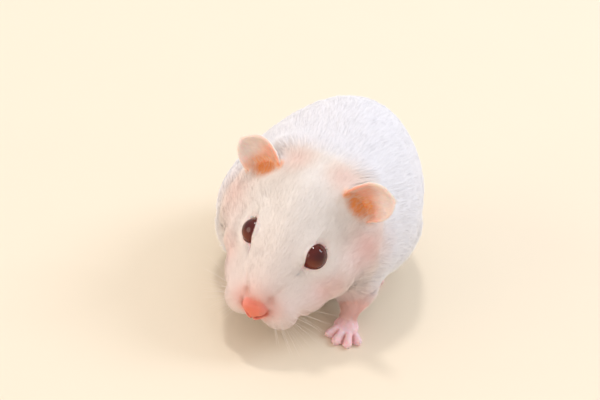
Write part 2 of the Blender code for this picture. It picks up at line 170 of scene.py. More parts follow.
def unit(vectors: np.ndarray) -> np.ndarray:
    """Vectors brought to length one.

    Args:
        vectors: One vector a row.

    Returns:
        The same rows with length one, or zero where a row had no length.
    """
    length = np.linalg.norm(vectors, axis=-1, keepdims=True)
    return vectors / np.maximum(length, 1e-12)


def ramp(values: np.ndarray, low: float, high: float) -> np.ndarray:
    """A smooth step.

    Args:
        values: Where to read it.
        low: Where it is still 0.
        high: Where it has reached 1.

    Returns:
        Numbers from 0 to 1.
    """
    t = np.clip((values - low) / (high - low), 0.0, 1.0)
    return t * t * (3.0 - 2.0 * t)


def grown(distance: np.ndarray, least: float, low: float, high: float) -> np.ndarray:
    """A share that grows with distance.

    Args:
        distance: Where to read it.
        least: The share up close.
        low: Where it starts to grow.
        high: Where it has reached 1.

    Returns:
        Numbers from the least share to 1.
    """
    return least + (1.0 - least) * ramp(distance, low, high)


def bump_at(points: np.ndarray, centre: Point, radii: Point) -> np.ndarray:
    """A soft zone: 1 at its middle and 0 well outside its radii.

    Args:
        points: Points, one a row.
        centre: The zone's middle.
        radii: Its reach along the three axes.

    Returns:
        One number for each point.
    """
    offset = (points - np.array(centre)) / np.array(radii)
    return np.exp(-np.sum(offset * offset, axis=1))


def distance_to_path(points: np.ndarray, path: list[Point]) -> tuple[np.ndarray, np.ndarray]:
    """How far points lie from a bent line.

    Args:
        points: Points, one a row.
        path: The corners of the line.

    Returns:
        The distance of each point, and how far along the line, from 0 to 1, its foot lies.
    """
    best = np.full(len(points), np.inf)
    along = np.zeros(len(points))
    corners = np.array(path, float)
    for i, (start, end) in enumerate(zip(corners, corners[1:])):
        run = end - start
        t = np.clip((points - start) @ run / (run @ run), 0.0, 1.0)
        gap = np.linalg.norm(points - start - t[:, None] * run, axis=1)
        nearer = gap < best
        best[nearer] = gap[nearer]
        along[nearer] = ((i + t) / (len(corners) - 1))[nearer]
    return best, along


def sided(local: np.ndarray, way: Point) -> np.ndarray:
    """A direction of the left side at every point, mirrored on the right.

    Args:
        local: Points in the head's coordinates.
        way: The direction on the left.

    Returns:
        One direction for each point.
    """
    rest = [np.full(len(local), part) for part in way[1:]]
    return np.stack((np.sign(local[:, 0]) * way[0], *rest), axis=1)


def link_object(
    name: str, mesh: bpy.types.Mesh, material: bpy.types.Material | None = None
) -> bpy.types.Object:
    """Puts a mesh in the scene.

    Args:
        name: The object's name.
        mesh: Its mesh.
        material: Its finish, if it has one.

    Returns:
        The object.
    """
    if material:
        mesh.materials.clear()
        mesh.materials.append(material)
    obj = bpy.data.objects.new(name, mesh)
    bpy.context.scene.collection.objects.link(obj)
    return obj


def enter_piece(piece: bpy.types.Object, slot: str, *replaced: str) -> None:
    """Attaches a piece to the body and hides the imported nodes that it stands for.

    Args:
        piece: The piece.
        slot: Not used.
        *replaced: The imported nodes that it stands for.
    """
    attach(piece, BODY)
    if replaced:
        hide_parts(*replaced)


def add_attribute(mesh: bpy.types.Mesh, name: str, kind: str, values: np.ndarray) -> None:
    """Stores values at a mesh's points.

    Args:
        mesh: The mesh.
        name: The attribute's name.
        kind: FLOAT or FLOAT_COLOR.
        values: One number, or one row of four, for each point.
    """
    made = mesh.attributes.new(name, kind, "POINT")
    key = "value" if kind == "FLOAT" else "color"
    made.data.foreach_set(key, np.ascontiguousarray(values, np.float32).ravel())


def add_tube(
    form: bmesh.types.BMesh,
    rings: list[list[Vector]],
    tip: Vector | None = None,
    closed_ends: bool = True,
) -> None:
    """Skins a row of equal rings into a tube.

    Args:
        form: Where it is added.
        rings: Rings of points, all with the same count.
        tip: A point that the last ring runs to, in place of a face across it.
        closed_ends: Whether the ends are closed.
    """
    rows = [[form.verts.new(point) for point in ring] for ring in rings]
    count = len(rows[0])
    for first, second in zip(rows, rows[1:]):
        for i in range(count):
            j = (i + 1) % count
            form.faces.new((first[i], first[j], second[j], second[i]))
    if not closed_ends:
        return
    form.faces.new(reversed(rows[0]))
    if tip is None:
        form.faces.new(rows[-1])
        return
    end = form.verts.new(tip)
    for i in range(count):
        form.faces.new((rows[-1][i], rows[-1][(i + 1) % count], end))


def shaded_mesh(form: bmesh.types.BMesh, name: str) -> bpy.types.Mesh:
    """Turns a bmesh into a smooth-shaded mesh and frees it.

    Args:
        form: The bmesh, which is used up.
        name: The mesh's name.

    Returns:
        The mesh.
    """
    bmesh.ops.recalc_face_normals(form, faces=form.faces[:])
    mesh = bpy.data.meshes.new(name)
    form.to_mesh(mesh)
    form.free()
    mesh.shade_smooth()
    return mesh


@dataclass(frozen=True)
class Foot:
    """One packed foot: its heel and its claws' nodes and middles, in millimetres."""

    word: str
    heel: np.ndarray
    nodes: list[str]
    claws: list[np.ndarray]


def packed_feet() -> list[Foot]:
    """Reads the four feet from the frame.

    Returns:
        The feet, each with its claws in order.
    """
    feet = []
    for name in (name for name, region in FLESH.items() if region in FEET):
        low, high = (np.array(end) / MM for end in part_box(name))
        heel = np.array(((low[0] + high[0]) / 2, low[1] * 0.3 + high[1] * 0.7, 0.0))
        word = name.replace("foot", "")
        start = f"claw_{word}_"
        nodes = sorted(obj.name for obj in bpy.data.objects if obj.name.startswith(start))
        claws = [sum(np.array(end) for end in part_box(node)) / 2 / MM for node in nodes]
        feet.append(Foot(word, heel, nodes, claws))
    return feet


# ---------------------------------------------------------------- the head's own frame


@dataclass
class HeadFrame:
    """The head's frame: its origin midway between the eyes, -Y forward along the skull.

    Coordinates in it are in millimetres.
    """

    pitch: float = 27.0
    yaw: float = -2.5
    eye_centre: Point = (7.1, 0.9, -1.5)
    turn: np.ndarray = field(init=False)
    origin: np.ndarray = field(init=False)

    def __post_init__(self) -> None:
        """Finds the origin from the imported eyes."""
        turn = Matrix.Rotation(math.radians(self.yaw), 3, "Z")
        turn = turn @ Matrix.Rotation(math.radians(self.pitch), 3, "X")
        self.turn = np.array(turn)
        middles = []
        for side in Side:
            low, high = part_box(f"eye_{side.word}")
            middles.append((np.array(low) + np.array(high)) / 2)
        _, y, z = self.eye_centre
        self.origin = sum(middles) / 2 - self.turn @ np.array((0.0, y, z)) * MM

    def inside(self, points: np.ndarray) -> np.ndarray:
        """World points, in metres, as head coordinates in millimetres."""
        return (points - self.origin) @ self.turn / MM

    def outside(self, points: np.ndarray) -> np.ndarray:
        """Head coordinates in millimetres as world points in metres."""
        return np.asarray(points, float) * MM @ self.turn.T + self.origin

    def turned(self, vectors: np.ndarray) -> np.ndarray:
        """Directions of the head's frame as world directions."""
        return np.asarray(vectors, float) @ self.turn.T


# ---------------------------------------------------------------- a mesh as arrays


class Surface:
    """A mesh held as arrays, for work on all its points at once."""

    def __init__(self, mesh: bpy.types.Mesh) -> None:
        """Reads points, edges and triangles.

        Args:
            mesh: The mesh.
        """
        self.mesh = mesh
        count = len(mesh.vertices)
        self.points = np.empty(count * 3)
        mesh.vertices.foreach_get("co", self.points)
        self.points = self.points.reshape(-1, 3)
        ends = np.empty(len(mesh.edges) * 2, np.int64)
        mesh.edges.foreach_get("vertices", ends)
        self.ends = ends.reshape(-1, 2)
        mesh.calc_loop_triangles()
        corners = np.empty(len(mesh.loop_triangles) * 3, np.int64)
        mesh.loop_triangles.foreach_get("vertices", corners)
        self.corners = corners.reshape(-1, 3)
        self.degree = np.maximum(np.bincount(self.ends.ravel(), minlength=count), 1)

    def normals(self) -> np.ndarray:
        """The surface's direction at each point, from the faces round it.

        Returns:
            One unit vector for each point.
        """
        a, b, c = (self.points[self.corners[:, k]] for k in range(3))
        faces = np.cross(b - a, c - a)
        found = np.zeros_like(self.points)
        for axis in range(3):
            for k in range(3):
                found[:, axis] += np.bincount(
                    self.corners[:, k], faces[:, axis], minlength=len(self.points)
                )
        return unit(found)

    def neighbours_mean(self, values: np.ndarray) -> np.ndarray:
        """The mean of each point's neighbours.

        Args:
            values: One number or one row for each point.

        Returns:
            The means, in the same shape.
        """
        flat = values.reshape(len(values), -1)
        found = np.empty_like(flat)
        first, second = self.ends[:, 0], self.ends[:, 1]
        for k in range(flat.shape[1]):
            total = np.bincount(first, flat[second, k], minlength=len(flat))
            total += np.bincount(second, flat[first, k], minlength=len(flat))
            found[:, k] = total / self.degree
        return found.reshape(values.shape)

    def spread(
        self, values: np.ndarray, rounds: int, share: float | np.ndarray = 0.5
    ) -> np.ndarray:
        """Values evened out over the surface.

        Args:
            values: One number or one row for each point.
            rounds: How often each point moves towards its neighbours' mean.
            share: How far it moves, the same everywhere or for each point.

        Returns:
            The evened values.
        """
        weight = np.broadcast_to(np.asarray(share, float), (len(values),))
        weight = weight if values.ndim == 1 else weight[:, None]
        for _ in range(rounds):
            values = values + weight * (self.neighbours_mean(values) - values)
        return values

    def bending(self, along: np.ndarray) -> np.ndarray:
        """How strongly the surface curves away along a direction.

        Args:
            along: The direction at each point.

        Returns:
            The curvature at each point, per metre.
        """
        normals = self.normals()
        first, second = self.ends[:, 0], self.ends[:, 1]
        step = self.points[second] - self.points[first]
        length = np.maximum(np.linalg.norm(step, axis=1), 1e-9)
        step /= length[:, None]
        curve = np.einsum("ij,ij->i", normals[second] - normals[first], step) / length
        total = np.zeros(len(self.points))
        weight = np.full(len(self.points), 1e-9)
        for end in (first, second):
            share = np.einsum("ij,ij->i", step, along[end]) ** 4
            total += np.bincount(end, share * curve, minlength=len(total))
            weight += np.bincount(end, share, minlength=len(weight))
        return self.spread(total / weight, 8)

    def write(self) -> None:
        """Puts the points back in the mesh."""
        self.mesh.vertices.foreach_set("co", self.points.ravel())
        self.mesh.update()


# ---------------------------------------------------------------- shader groups


class NodeDesk:
    """A shader or group tree, with short calls to place and link its nodes."""

    def __init__(self, tree: bpy.types.NodeTree) -> None:
        """Starts from an empty tree."""
        self.tree = tree
        self.tree.nodes.clear()

    def add(self, kind: str, settings: dict | None = None, **inputs: object) -> bpy.types.Node:
        """Places a node.

        Args:
            kind: Its type, without the ShaderNode in front.
            settings: Properties of the node.
            **inputs: Its inputs by name, with _ for a space: a socket is linked, anything else
                is set as the value.

        Returns:
            The node.
        """
        node = self.tree.nodes.new(kind if kind.startswith("Node") else f"ShaderNode{kind}")
        for key, value in (settings or {}).items():
            setattr(node, key, value)
        for key, value in inputs.items():
            self.feed(node.inputs[key.replace("_", " ")], value)
        return node

    def feed(self, socket: bpy.types.NodeSocket, value: object) -> None:
        """Links another socket to an input, or sets the input to a value.

        Args:
            socket: The input.
            value: A socket, a number or a colour.
        """
        if isinstance(value, bpy.types.NodeSocket):
            self.tree.links.new(value, socket)
        else:
            socket.default_value = value

    def mixed(
        self, factor: object, first: object, second: object, way: str = "MIX"
    ) -> bpy.types.NodeSocket:
        """Mixes two colours.

        Args:
            factor: How much of the second, a number or a socket.
            first: A colour or a socket.
            second: A colour or a socket.
            way: The blend type.

        Returns:
            The mixed colour's socket.
        """
        node = self.tree.nodes.new("ShaderNodeMix")
        node.data_type = "RGBA"
        node.blend_type = way
        for index, value in ((0, factor), (6, first), (7, second)):
            self.feed(node.inputs[index], (*value, 1.0) if isinstance(value, tuple) else value)
        return node.outputs[2]

    def maths(self, way: str, first: object, second: object = 0.0) -> bpy.types.NodeSocket:
        """Works out one number from two.

        Args:
            way: The operation.
            first: A number or a socket.
            second: A number or a socket.

        Returns:
            The result's socket.
        """
        node = self.add("Math", {"operation": way})
        for socket, value in zip(node.inputs, (first, second)):
            self.feed(socket, value)
        return node.outputs[0]

    def placed_group(self, group: bpy.types.NodeTree, **inputs: object) -> bpy.types.Node:
        """Places a node group with its own values."""
        return self.add("Group", {"node_tree": group}, **inputs)

    def finish_surface(self, shader: bpy.types.Node) -> None:
        """Links a shader to the material's output."""
        self.add("OutputMaterial", Surface=shader.outputs[0])


def new_group(name: str, takes: dict[str, str], gives: dict[str, str]) -> bpy.types.NodeTree:
    """Makes an empty shader group.

    Args:
        name: Its name.
        takes: Input names and their kinds, Float, Color or Vector.
        gives: Output names and their kinds.

    Returns:
        The group.
    """
    group = bpy.data.node_groups.new(name, "ShaderNodeTree")
    for way, sockets in (("INPUT", takes), ("OUTPUT", gives)):
        for socket, kind in sockets.items():
            group.interface.new_socket(socket, in_out=way, socket_type=f"NodeSocket{kind}")
    return group


@dataclass
class Groups:
    """The shader groups that several finishes share, each built once."""

    crease: Colour = (0.42, 0.10, 0.07)  # painted shade: the colour that skin in a crease is multiplied by
    mottle_scale: float = 420.0
    relief: float = 0.00012  # the height of the skin's grain, in metres
    cell_share: float = 0.6
    markings: bpy.types.NodeTree = field(init=False)
    grain: bpy.types.NodeTree = field(init=False)

    def __post_init__(self) -> None:
        """Builds every group."""
        self.markings = self._build_markings()
        self.grain = self._build_grain()

    def _build_markings(self) -> bpy.types.NodeTree:
        """Colours by the animal's markings: flush, warm and glow lie over a plain colour, and
        painted shade darkens creases.

        Returns:
            The group.
        """
        colours = ("Plain", "Warm", "Flush", "Glow")
        takes = {name: "Color" for name in colours} | {"Mottle": "Float"}
        group = new_group("coat_markings", takes, {"Colour": "Color"})
        desk = NodeDesk(group)
        taken = desk.add("NodeGroupInput").outputs
        marks = desk.add("Attribute", {"attribute_name": "markings"})
        parts = desk.add("SeparateColor", Color=marks.outputs["Color"]).outputs
        place = desk.add("TexCoord").outputs["Object"]
        noise = desk.add("TexNoise", Vector=place, Scale=self.mottle_scale, Detail=3.0).outputs[0]
        colour = desk.mixed(parts["Green"], taken["Plain"], taken["Warm"])
        colour = desk.mixed(parts["Red"], colour, taken["Flush"])
        colour = desk.mixed(parts["Blue"], colour, taken["Glow"])
        # painted shade: where the alpha drops, in creases and toe clefts, the colour is darkened as
        # if shade fell there; on the nose pad it deepens the pad's own red
        crease = desk.maths("SUBTRACT", 1.0, marks.outputs["Alpha"])
        colour = desk.mixed(crease, colour, self.crease, "MULTIPLY")
        shade = desk.maths("MULTIPLY", desk.maths("SUBTRACT", noise, 0.5), taken["Mottle"])
        shade = desk.maths("ADD", shade, 1.0)
        scaled = desk.add("VectorMath", {"operation": "SCALE"}, Vector=colour, Scale=shade)
        desk.add("NodeGroupOutput", Colour=scaled.outputs[0])
        return group

    def _build_grain(self) -> bpy.types.NodeTree:
        """Fine folds and pores of skin, as a normal and a mask.

        Returns:
            The group.
        """
        takes = {"Scale": "Float", "Strength": "Float", "Stretch": "Vector"}
        group = new_group("skin_grain", takes, {"Normal": "Vector", "Mask": "Float"})
        desk = NodeDesk(group)
        taken = desk.add("NodeGroupInput").outputs
        place = desk.add("TexCoord").outputs["Object"]
        drawn = desk.add("VectorMath", {"operation": "MULTIPLY"}, Vector=place)
        desk.feed(drawn.inputs[1], taken["Stretch"])
        spread = {"Vector": drawn.outputs[0], "Scale": taken["Scale"]}
        cells = desk.add("TexVoronoi", {"feature": "F1"}, **spread).outputs[0]
        noise = desk.add("TexNoise", Detail=4.0, **spread).outputs[0]
        height = desk.maths("ADD", desk.maths("MULTIPLY", cells, self.cell_share), noise)
        bump = desk.add("Bump", Strength=taken["Strength"], Distance=self.relief, Height=height)
        desk.add("NodeGroupOutput", Normal=bump.outputs[0], Mask=noise)
        return group


# ---------------------------------------------------------------- finishes


COAT_UNDER: Colour = (0.86, 0.74, 0.71)  # the skin as it shows between the roots of the coat


def new_material(name: str) -> tuple[bpy.types.Material, NodeDesk]:
    """Makes a material with an empty tree of nodes.

    Args:
        name: Its name.

    Returns:
        The material and the desk to place its nodes.
    """
    made = bpy.data.materials.new(name)
    made.use_nodes = True
    return made, NodeDesk(made.node_tree)


@dataclass(frozen=True)
class Grain:
    """How the shared skin grain lies on one finish."""

    scale: float
    strength: float
    stretch: Point = (1.0, 1.0, 1.0)

    def placed(self, desk: NodeDesk, groups: Groups) -> bpy.types.Node:
        """Places the grain's group with these values."""
        values = {"Scale": self.scale, "Strength": self.strength, "Stretch": self.stretch}
        return desk.placed_group(groups.grain, **values)


@dataclass(frozen=True)
class MarkedFinish:
    """A finish whose colour follows the animal's markings and the shade painted into creases."""

    name: str
    plain: Colour
    warm: Colour
    flush: Colour
    glow: Colour
    mottle: float
    roughness: float

    def marked(self, desk: NodeDesk, groups: Groups) -> bpy.types.NodeSocket:
        """Places the markings' group with this finish's colours.

        Args:
            desk: The material's desk.
            groups: The shared shader groups.

        Returns:
            The colour's socket.
        """
        words = ("plain", "warm", "flush", "glow")
        colours = {word.title(): (*getattr(self, word), 1.0) for word in words}
        marks = desk.placed_group(groups.markings, **colours, Mottle=self.mottle)
        return marks.outputs["Colour"]


@dataclass(frozen=True)
class SkinFinish(MarkedFinish):
    """Thin pink skin, with the animal's markings, under the coat and on the bare parts."""

    name: str = "white_hamster_skin"
    plain: Colour = (0.97, 0.66, 0.70)
    warm: Colour = (0.95, 0.82, 0.73)
    flush: Colour = (0.80, 0.36, 0.32)
    glow: Colour = (1.0, 0.20, 0.035)
    mottle: float = 0.10
    roughness: float = 0.42
    roughness_range: float = 0.2
    glow_through: float = 0.7
    glow_reach: float = 0.0007
    glow_tint: Colour = (1.0, 0.4, 0.25)
    grain: Grain = Grain(2600.0, 0.35, (1.0, 0.6, 1.0))

    def material(self, groups: Groups) -> bpy.types.Material:
        """Builds the material.

        Args:
            groups: The shared shader groups.

        Returns:
            The material.
        """
        made, desk = new_material(self.name)
        colour = self.marked(desk, groups)
        bare = desk.add("Attribute", {"attribute_name": "bareness"}).outputs["Fac"]
        furred = desk.mixed(bare, COAT_UNDER, colour)
        grain = self.grain.placed(desk, groups)
        uneven = desk.maths("MULTIPLY", grain.outputs["Mask"], self.roughness_range)
        shader = desk.add(
            "BsdfPrincipled",
            Base_Color=furred,
            Roughness=desk.maths("ADD", uneven, self.roughness),
            Normal=grain.outputs["Normal"],
            Subsurface_Weight=self.glow_through,
            Subsurface_Radius=self.glow_tint,
            Subsurface_Scale=self.glow_reach,
            Specular_IOR_Level=0.4,
        )
        desk.finish_surface(shader)
        return made


@dataclass(frozen=True)
class CoatFinish(MarkedFinish):
    """Fine white hair, warmer on the face and flushed where skin shows through."""

    name: str = "white_hamster_coat"
    plain: Colour = (0.94, 0.93, 0.965)
    warm: Colour = (0.95, 0.86, 0.765)
    flush: Colour = (0.95, 0.60, 0.54)
    glow: Colour = (1.0, 0.40, 0.12)
    mottle: float = 0.05
    roughness: float = 0.6
    root: Colour = (0.95, 0.88, 0.86)
    root_share: float = 0.4
    sheen: float = 0.12

    def material(self, groups: Groups) -> bpy.types.Material:
        """Builds the material.

        Args:
            groups: The shared shader groups.

        Returns:
            The material.
        """
        made, desk = new_material(self.name)
        colour = self.marked(desk, groups)
        along = desk.add("Attribute", {"attribute_name": "along"}).outputs["Fac"]
        near_root = desk.maths("MULTIPLY", desk.maths("SUBTRACT", 1.0, along), self.root_share)
        shader = desk.add(
            "BsdfPrincipled",
            Base_Color=desk.mixed(near_root, colour, self.root, "MULTIPLY"),
            Roughness=self.roughness,
            Sheen_Weight=self.sheen,
            Sheen_Roughness=0.4,
            Specular_IOR_Level=0.25,
        )
        desk.finish_surface(shader)
        return made


@dataclass(frozen=True)
class EyeFinish:
    """A wet, ruby-dark eye with a darker pupil, and painted light: a lighter ruby low on the ball.
    """

    name: str = "ruby_eye"
    pupil: Colour = (0.052, 0.001, 0.0005)
    iris: Colour = (0.090, 0.005, 0.001)
    # painted light: the lighter ruby low on the ball, where light falling in through the cornea
    # would show
    lower: Colour = (0.18, 0.026, 0.002)
    speckle: float = 0.35
    grain: Grain = Grain(1500.0, 0.02)

    def material(self, groups: Groups) -> bpy.types.Material:
        """Builds the material.

        Args:
            groups: The shared shader groups.

        Returns:
            The material.
        """
        made, desk = new_material(self.name)
        out = desk.add("Attribute", {"attribute_name": "from_pupil"}).outputs["Fac"]
        low = desk.add("Attribute", {"attribute_name": "lower"}).outputs["Fac"]
        grain = self.grain.placed(desk, groups)
        speckle = desk.maths("MULTIPLY", grain.outputs["Mask"], self.speckle)
        colour = desk.mixed(out, self.pupil, self.iris)
        # painted light: the ball is mixed towards the lighter ruby where light would fall in
        colour = desk.mixed(low, colour, self.lower)
        shader = desk.add(
            "BsdfPrincipled",
            Base_Color=desk.mixed(speckle, colour, self.pupil),
            Roughness=0.30,
            Specular_IOR_Level=0.0,
            Coat_Weight=1.0,
            Coat_Roughness=0.03,
            Coat_IOR=1.46,
        )
        desk.finish_surface(shader)
        return made


@dataclass(frozen=True)
class GrainedFinish:
    """A finish of two colours that the skin's grain mixes."""

    name: str
    first: Colour
    second: Colour
    share: float
    roughness: float
    gloss: float
    grain: Grain

    def material(self, groups: Groups) -> bpy.types.Material:
        """Builds the material.

        Args:
            groups: The shared shader groups.

        Returns:
            The material.
        """
        made, desk = new_material(self.name)
        grain = self.grain.placed(desk, groups)
        share = desk.maths("MULTIPLY", grain.outputs["Mask"], self.share)
        shader = desk.add(
            "BsdfPrincipled",
            Base_Color=desk.mixed(share, self.first, self.second),
            Roughness=self.roughness,
            Normal=grain.outputs["Normal"],
            Specular_IOR_Level=self.gloss,
        )
        desk.finish_surface(shader)
        return made


@dataclass(frozen=True)
class RimFinish(GrainedFinish):
    """The dark moist edge of the lids."""

    name: str = "lid_rim"
    first: Colour = (0.11, 0.022, 0.014)
    second: Colour = (0.32, 0.10, 0.08)
    share: float = 1.0
    roughness: float = 0.3
    gloss: float = 0.4
    grain: Grain = Grain(2200.0, 0.1)


@dataclass(frozen=True)
class HornFinish(GrainedFinish):
    """Pale horn with a rosy core, for claws and whiskers."""

    name: str = "pale_horn"
    first: Colour = (0.93, 0.84, 0.79)
    second: Colour = (0.92, 0.62, 0.60)
    share: float = 1.0
    roughness: float = 0.32
    gloss: float = 0.5
    grain: Grain = Grain(1800.0, 0.08, (1.0, 0.3, 1.0))


@dataclass(frozen=True)
class FloorFinish:
    """A plain pale studio floor."""

    name: str = "pale_floor"
    colour: Colour = (0.86, 0.75, 0.59)
    shade: float = 0.985  # how dark its darkest places are beside it

    def material(self) -> bpy.types.Material:
        """Builds the material.

        Returns:
            The material.
        """
        made, desk = new_material(self.name)
        place = desk.add("TexCoord").outputs["Object"]
        noise = desk.add("TexNoise", Vector=place, Scale=30.0, Detail=3.0).outputs[0]
        colour = desk.mixed(noise, self.colour, tuple(self.shade * c for c in self.colour))
        shader = desk.add("BsdfPrincipled", Base_Color=colour, Roughness=0.6)
        desk.finish_surface(shader)
        return made


# ---------------------------------------------------------------- eyes and lids


@dataclass
class Eye:
    """One eye: its ball, and the drop-shaped opening that the lids leave round it.

    Lengths are in millimetres. The opening's reaches and turns are in degrees.
    """

    side: Side
    head: HeadFrame
    radius: float = 3.0
    gaze: Point = (0.74, -0.30, 0.60)
    corner: Point = (-0.33, -0.93, -0.15)
    opening: float = 57.5
    upper_lift: float = 4.0
    corner_reach: float = 26.0
    corner_width: float = 21.0
    corner_shape: float = 1.3
    rear_reach: float = 14.0
    rear_turn: float = -160.0
    rear_width: float = 45.0
    lid_lift: float = 0.12  # the lids' edge over the ball
    lid_swell: float = 0.30  # the lids over the ball further out
    lid_tuck: float = 0.7  # how deep the skin inside the opening is tucked away
    snap: float = 0.13  # skin this near to the edge is drawn onto it
    reach_over: float = 2.2  # skin this near to the ball is drawn over it
    widest: float = 112.0
    cornea: float = 0.10
    cornea_reach: float = 0.85
    pupil: tuple[float, float] = (0.25, 0.75)
    rim: float = 0.09
    rim_lift: float = 0.08
    rings: int = 40
    sides: int = 64
    centre: np.ndarray = field(init=False)
    axes: np.ndarray = field(init=False)

    def __post_init__(self) -> None:
        """Finds the ball's middle and the axes: towards the front corner, across, and outwards."""
        low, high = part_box(f"eye_{self.side.word}")
        self.centre = (np.array(low) + np.array(high)) / 2
        mirror = np.array((self.side.value, 1.0, 1.0))
        out = unit(self.head.turned(np.array(self.gaze) * mirror))
        front = self.head.turned(np.array(self.corner) * mirror)
        front = unit(front - out * (front @ out))
        self.axes = np.array((front, np.cross(out, front) * self.side.value, out))

    def polar(self, points: np.ndarray) -> tuple[np.ndarray, np.ndarray, np.ndarray]:
        """Points seen from the ball's middle.

        Args:
            points: World points in metres.

        Returns:
            Distance in millimetres, angle from the gaze and angle round it, in radians.
        """
        local = (points - self.centre) @ self.axes.T / MM
        reach = np.linalg.norm(local, axis=1)
        tilt = np.arccos(np.clip(local[:, 2] / np.maximum(reach, 1e-9), -1.0, 1.0))
        return reach, tilt, np.arctan2(local[:, 1], local[:, 0])

    def outward(self, points: np.ndarray) -> np.ndarray:
        """The ways along the ball from the middle of the opening to its edge.

        Args:
            points: World points in metres.

        Returns:
            One direction for each.
        """
        spoke = unit(points - self.centre)
        gaze = self.axes[2]
        return unit(spoke * (spoke @ gaze)[:, None] - gaze)

    def place(self, reach: np.ndarray, tilt: np.ndarray, round_: np.ndarray) -> np.ndarray:
        """Turns polar coordinates back into points.

        Args:
            reach: Distances from the ball's middle, in millimetres.
            tilt: Angles from the gaze.
            round_: Angles round the gaze.

        Returns:
            World points in metres.
        """
        flat = np.sin(tilt)
        local = np.stack((flat * np.cos(round_), flat * np.sin(round_), np.cos(tilt)), axis=1)
        return (local * reach[:, None]) @ self.axes * MM + self.centre

    def edge(self, round_: np.ndarray) -> np.ndarray:
        """The angle from the gaze, in radians, at which the lids end.

        Args:
            round_: Angles round the gaze, 0 at the front corner and pi / 2 at the lower lid.

        Returns:
            One angle for each.
        """
        turn = np.degrees(round_)
        front = np.exp(-((np.abs(turn) / self.corner_width) ** self.corner_shape))
        past = (turn - self.rear_turn + 180.0) % 360.0 - 180.0
        rear = np.exp(-((past / self.rear_width) ** 2))
        reach = self.opening - self.upper_lift * np.sin(round_)
        return np.radians(reach + self.corner_reach * front + self.rear_reach * rear)

    def margin(self, points: np.ndarray) -> np.ndarray:
        """How far outside the opening's edge points lie, in millimetres along the ball."""
        _, tilt, round_ = self.polar(points)
        return (tilt - self.edge(round_)) * self.radius

    def wrap(self, points: np.ndarray) -> np.ndarray:
        """Draws skin over the ball as lids, with a clean edge at the opening.

        Args:
            points: The skin's points.

        Returns:
            The moved points.
        """
        reach, tilt, round_ = self.polar(points)
        edge = self.edge(round_)
        gap = (tilt - edge) * self.radius
        near = (reach < self.radius + self.reach_over) & (reach > 1.0)
        near &= tilt < math.radians(self.widest)
        snapped = near & (np.abs(gap) < self.snap)
        inner = near & (gap <= -self.snap)
        outer = near & (gap >= self.snap)
        tilt = np.where(snapped, edge, tilt)
        sunk = self.radius - self.lid_tuck * ramp(-gap, 0.0, 0.5)
        lid = self.radius + self.lid_lift + (self.lid_swell - self.lid_lift) * ramp(gap, 0.0, 0.7)
        reach = np.where(snapped, self.radius + self.lid_lift, reach)
        reach = np.where(inner, sunk, reach)
        reach = np.where(outer, np.maximum(reach, lid), reach)
        moved = self.place(reach, tilt, round_)
        return np.where(near[:, None], moved, points)

    def build_ball(self, material: bpy.types.Material) -> None:
        """Makes the eyeball with a slightly raised cornea.

        Args:
            material: The eye's finish.
        """
        name = f"eyeball_{self.side.word}"
        circle = np.linspace(0.0, 2 * math.pi, self.sides, endpoint=False)
        rows = []
        for tilt in np.linspace(0.02, math.pi - 0.02, self.rings):
            swell = self.cornea * math.exp(-((tilt / self.cornea_reach) ** 4))
            reach = np.full(self.sides, self.radius + swell)
            spots = self.place(reach, np.full(self.sides, tilt), circle)
            rows.append([Vector(spot) for spot in spots])
        form = bmesh.new()
        add_tube(form, rows)
        mesh = shaded_mesh(form, name)
        spots = Surface(mesh).points
        _, tilt, _ = self.polar(spots)
        local = self.head.inside(spots) - self.head.inside(self.centre[None, :])
        add_attribute(mesh, "from_pupil", "FLOAT", ramp(tilt, *self.pupil))
        # painted light: where the ball's lighter ruby lies
        lower = bump_at(local, (1.3 * self.side.value, -2.3, 0.5), (1.7, 1.4, 1.6))
        add_attribute(mesh, "lower", "FLOAT", 0.9 * lower)
        enter_piece(link_object(name, mesh, material), "eye", f"eye_{self.side.word}")

    def build_margin(self, material: bpy.types.Material) -> None:
        """Makes the bare moist rim along the lids' edge.

        Args:
            material: The rim's finish.
        """
        name = f"lid_rim_{self.side.word}"
        count, sides = 120, 8
        angles = 2 * math.pi * np.arange(sides) / sides
        rows = []
        for turn in np.linspace(-math.pi, math.pi, count, endpoint=False):
            turns = np.full(sides, turn)
            tilt = self.edge(turns) + self.rim * np.cos(angles) / self.radius
            reach = self.radius + self.rim_lift + self.rim * np.sin(angles)
            rows.append([Vector(spot) for spot in self.place(reach, tilt, turns)])
        form = bmesh.new()
        add_tube(form, rows + [rows[0]], closed_ends=False)
        bmesh.ops.remove_doubles(form, verts=form.verts[:], dist=1e-7)
        enter_piece(link_object(name, shaded_mesh(form, name), material), "bare_skin")


# ---------------------------------------------------------------- the skin


@dataclass(frozen=True)
class Groove:
    """A line that is pressed into the skin, in the head's coordinates."""

    path: list[Point]
    width: float
    depth: float
    # how strongly its skin is flushed pink, and by the nose darkened with painted crease shade
    blush: float = 0.0


def mirrored(groove: Groove) -> list[Groove]:
    """A groove and its mirror image across the head's middle."""
    other = [(-x, y, z) for x, y, z in groove.path]
    return [groove, Groove(other, groove.width, groove.depth, groove.blush)]


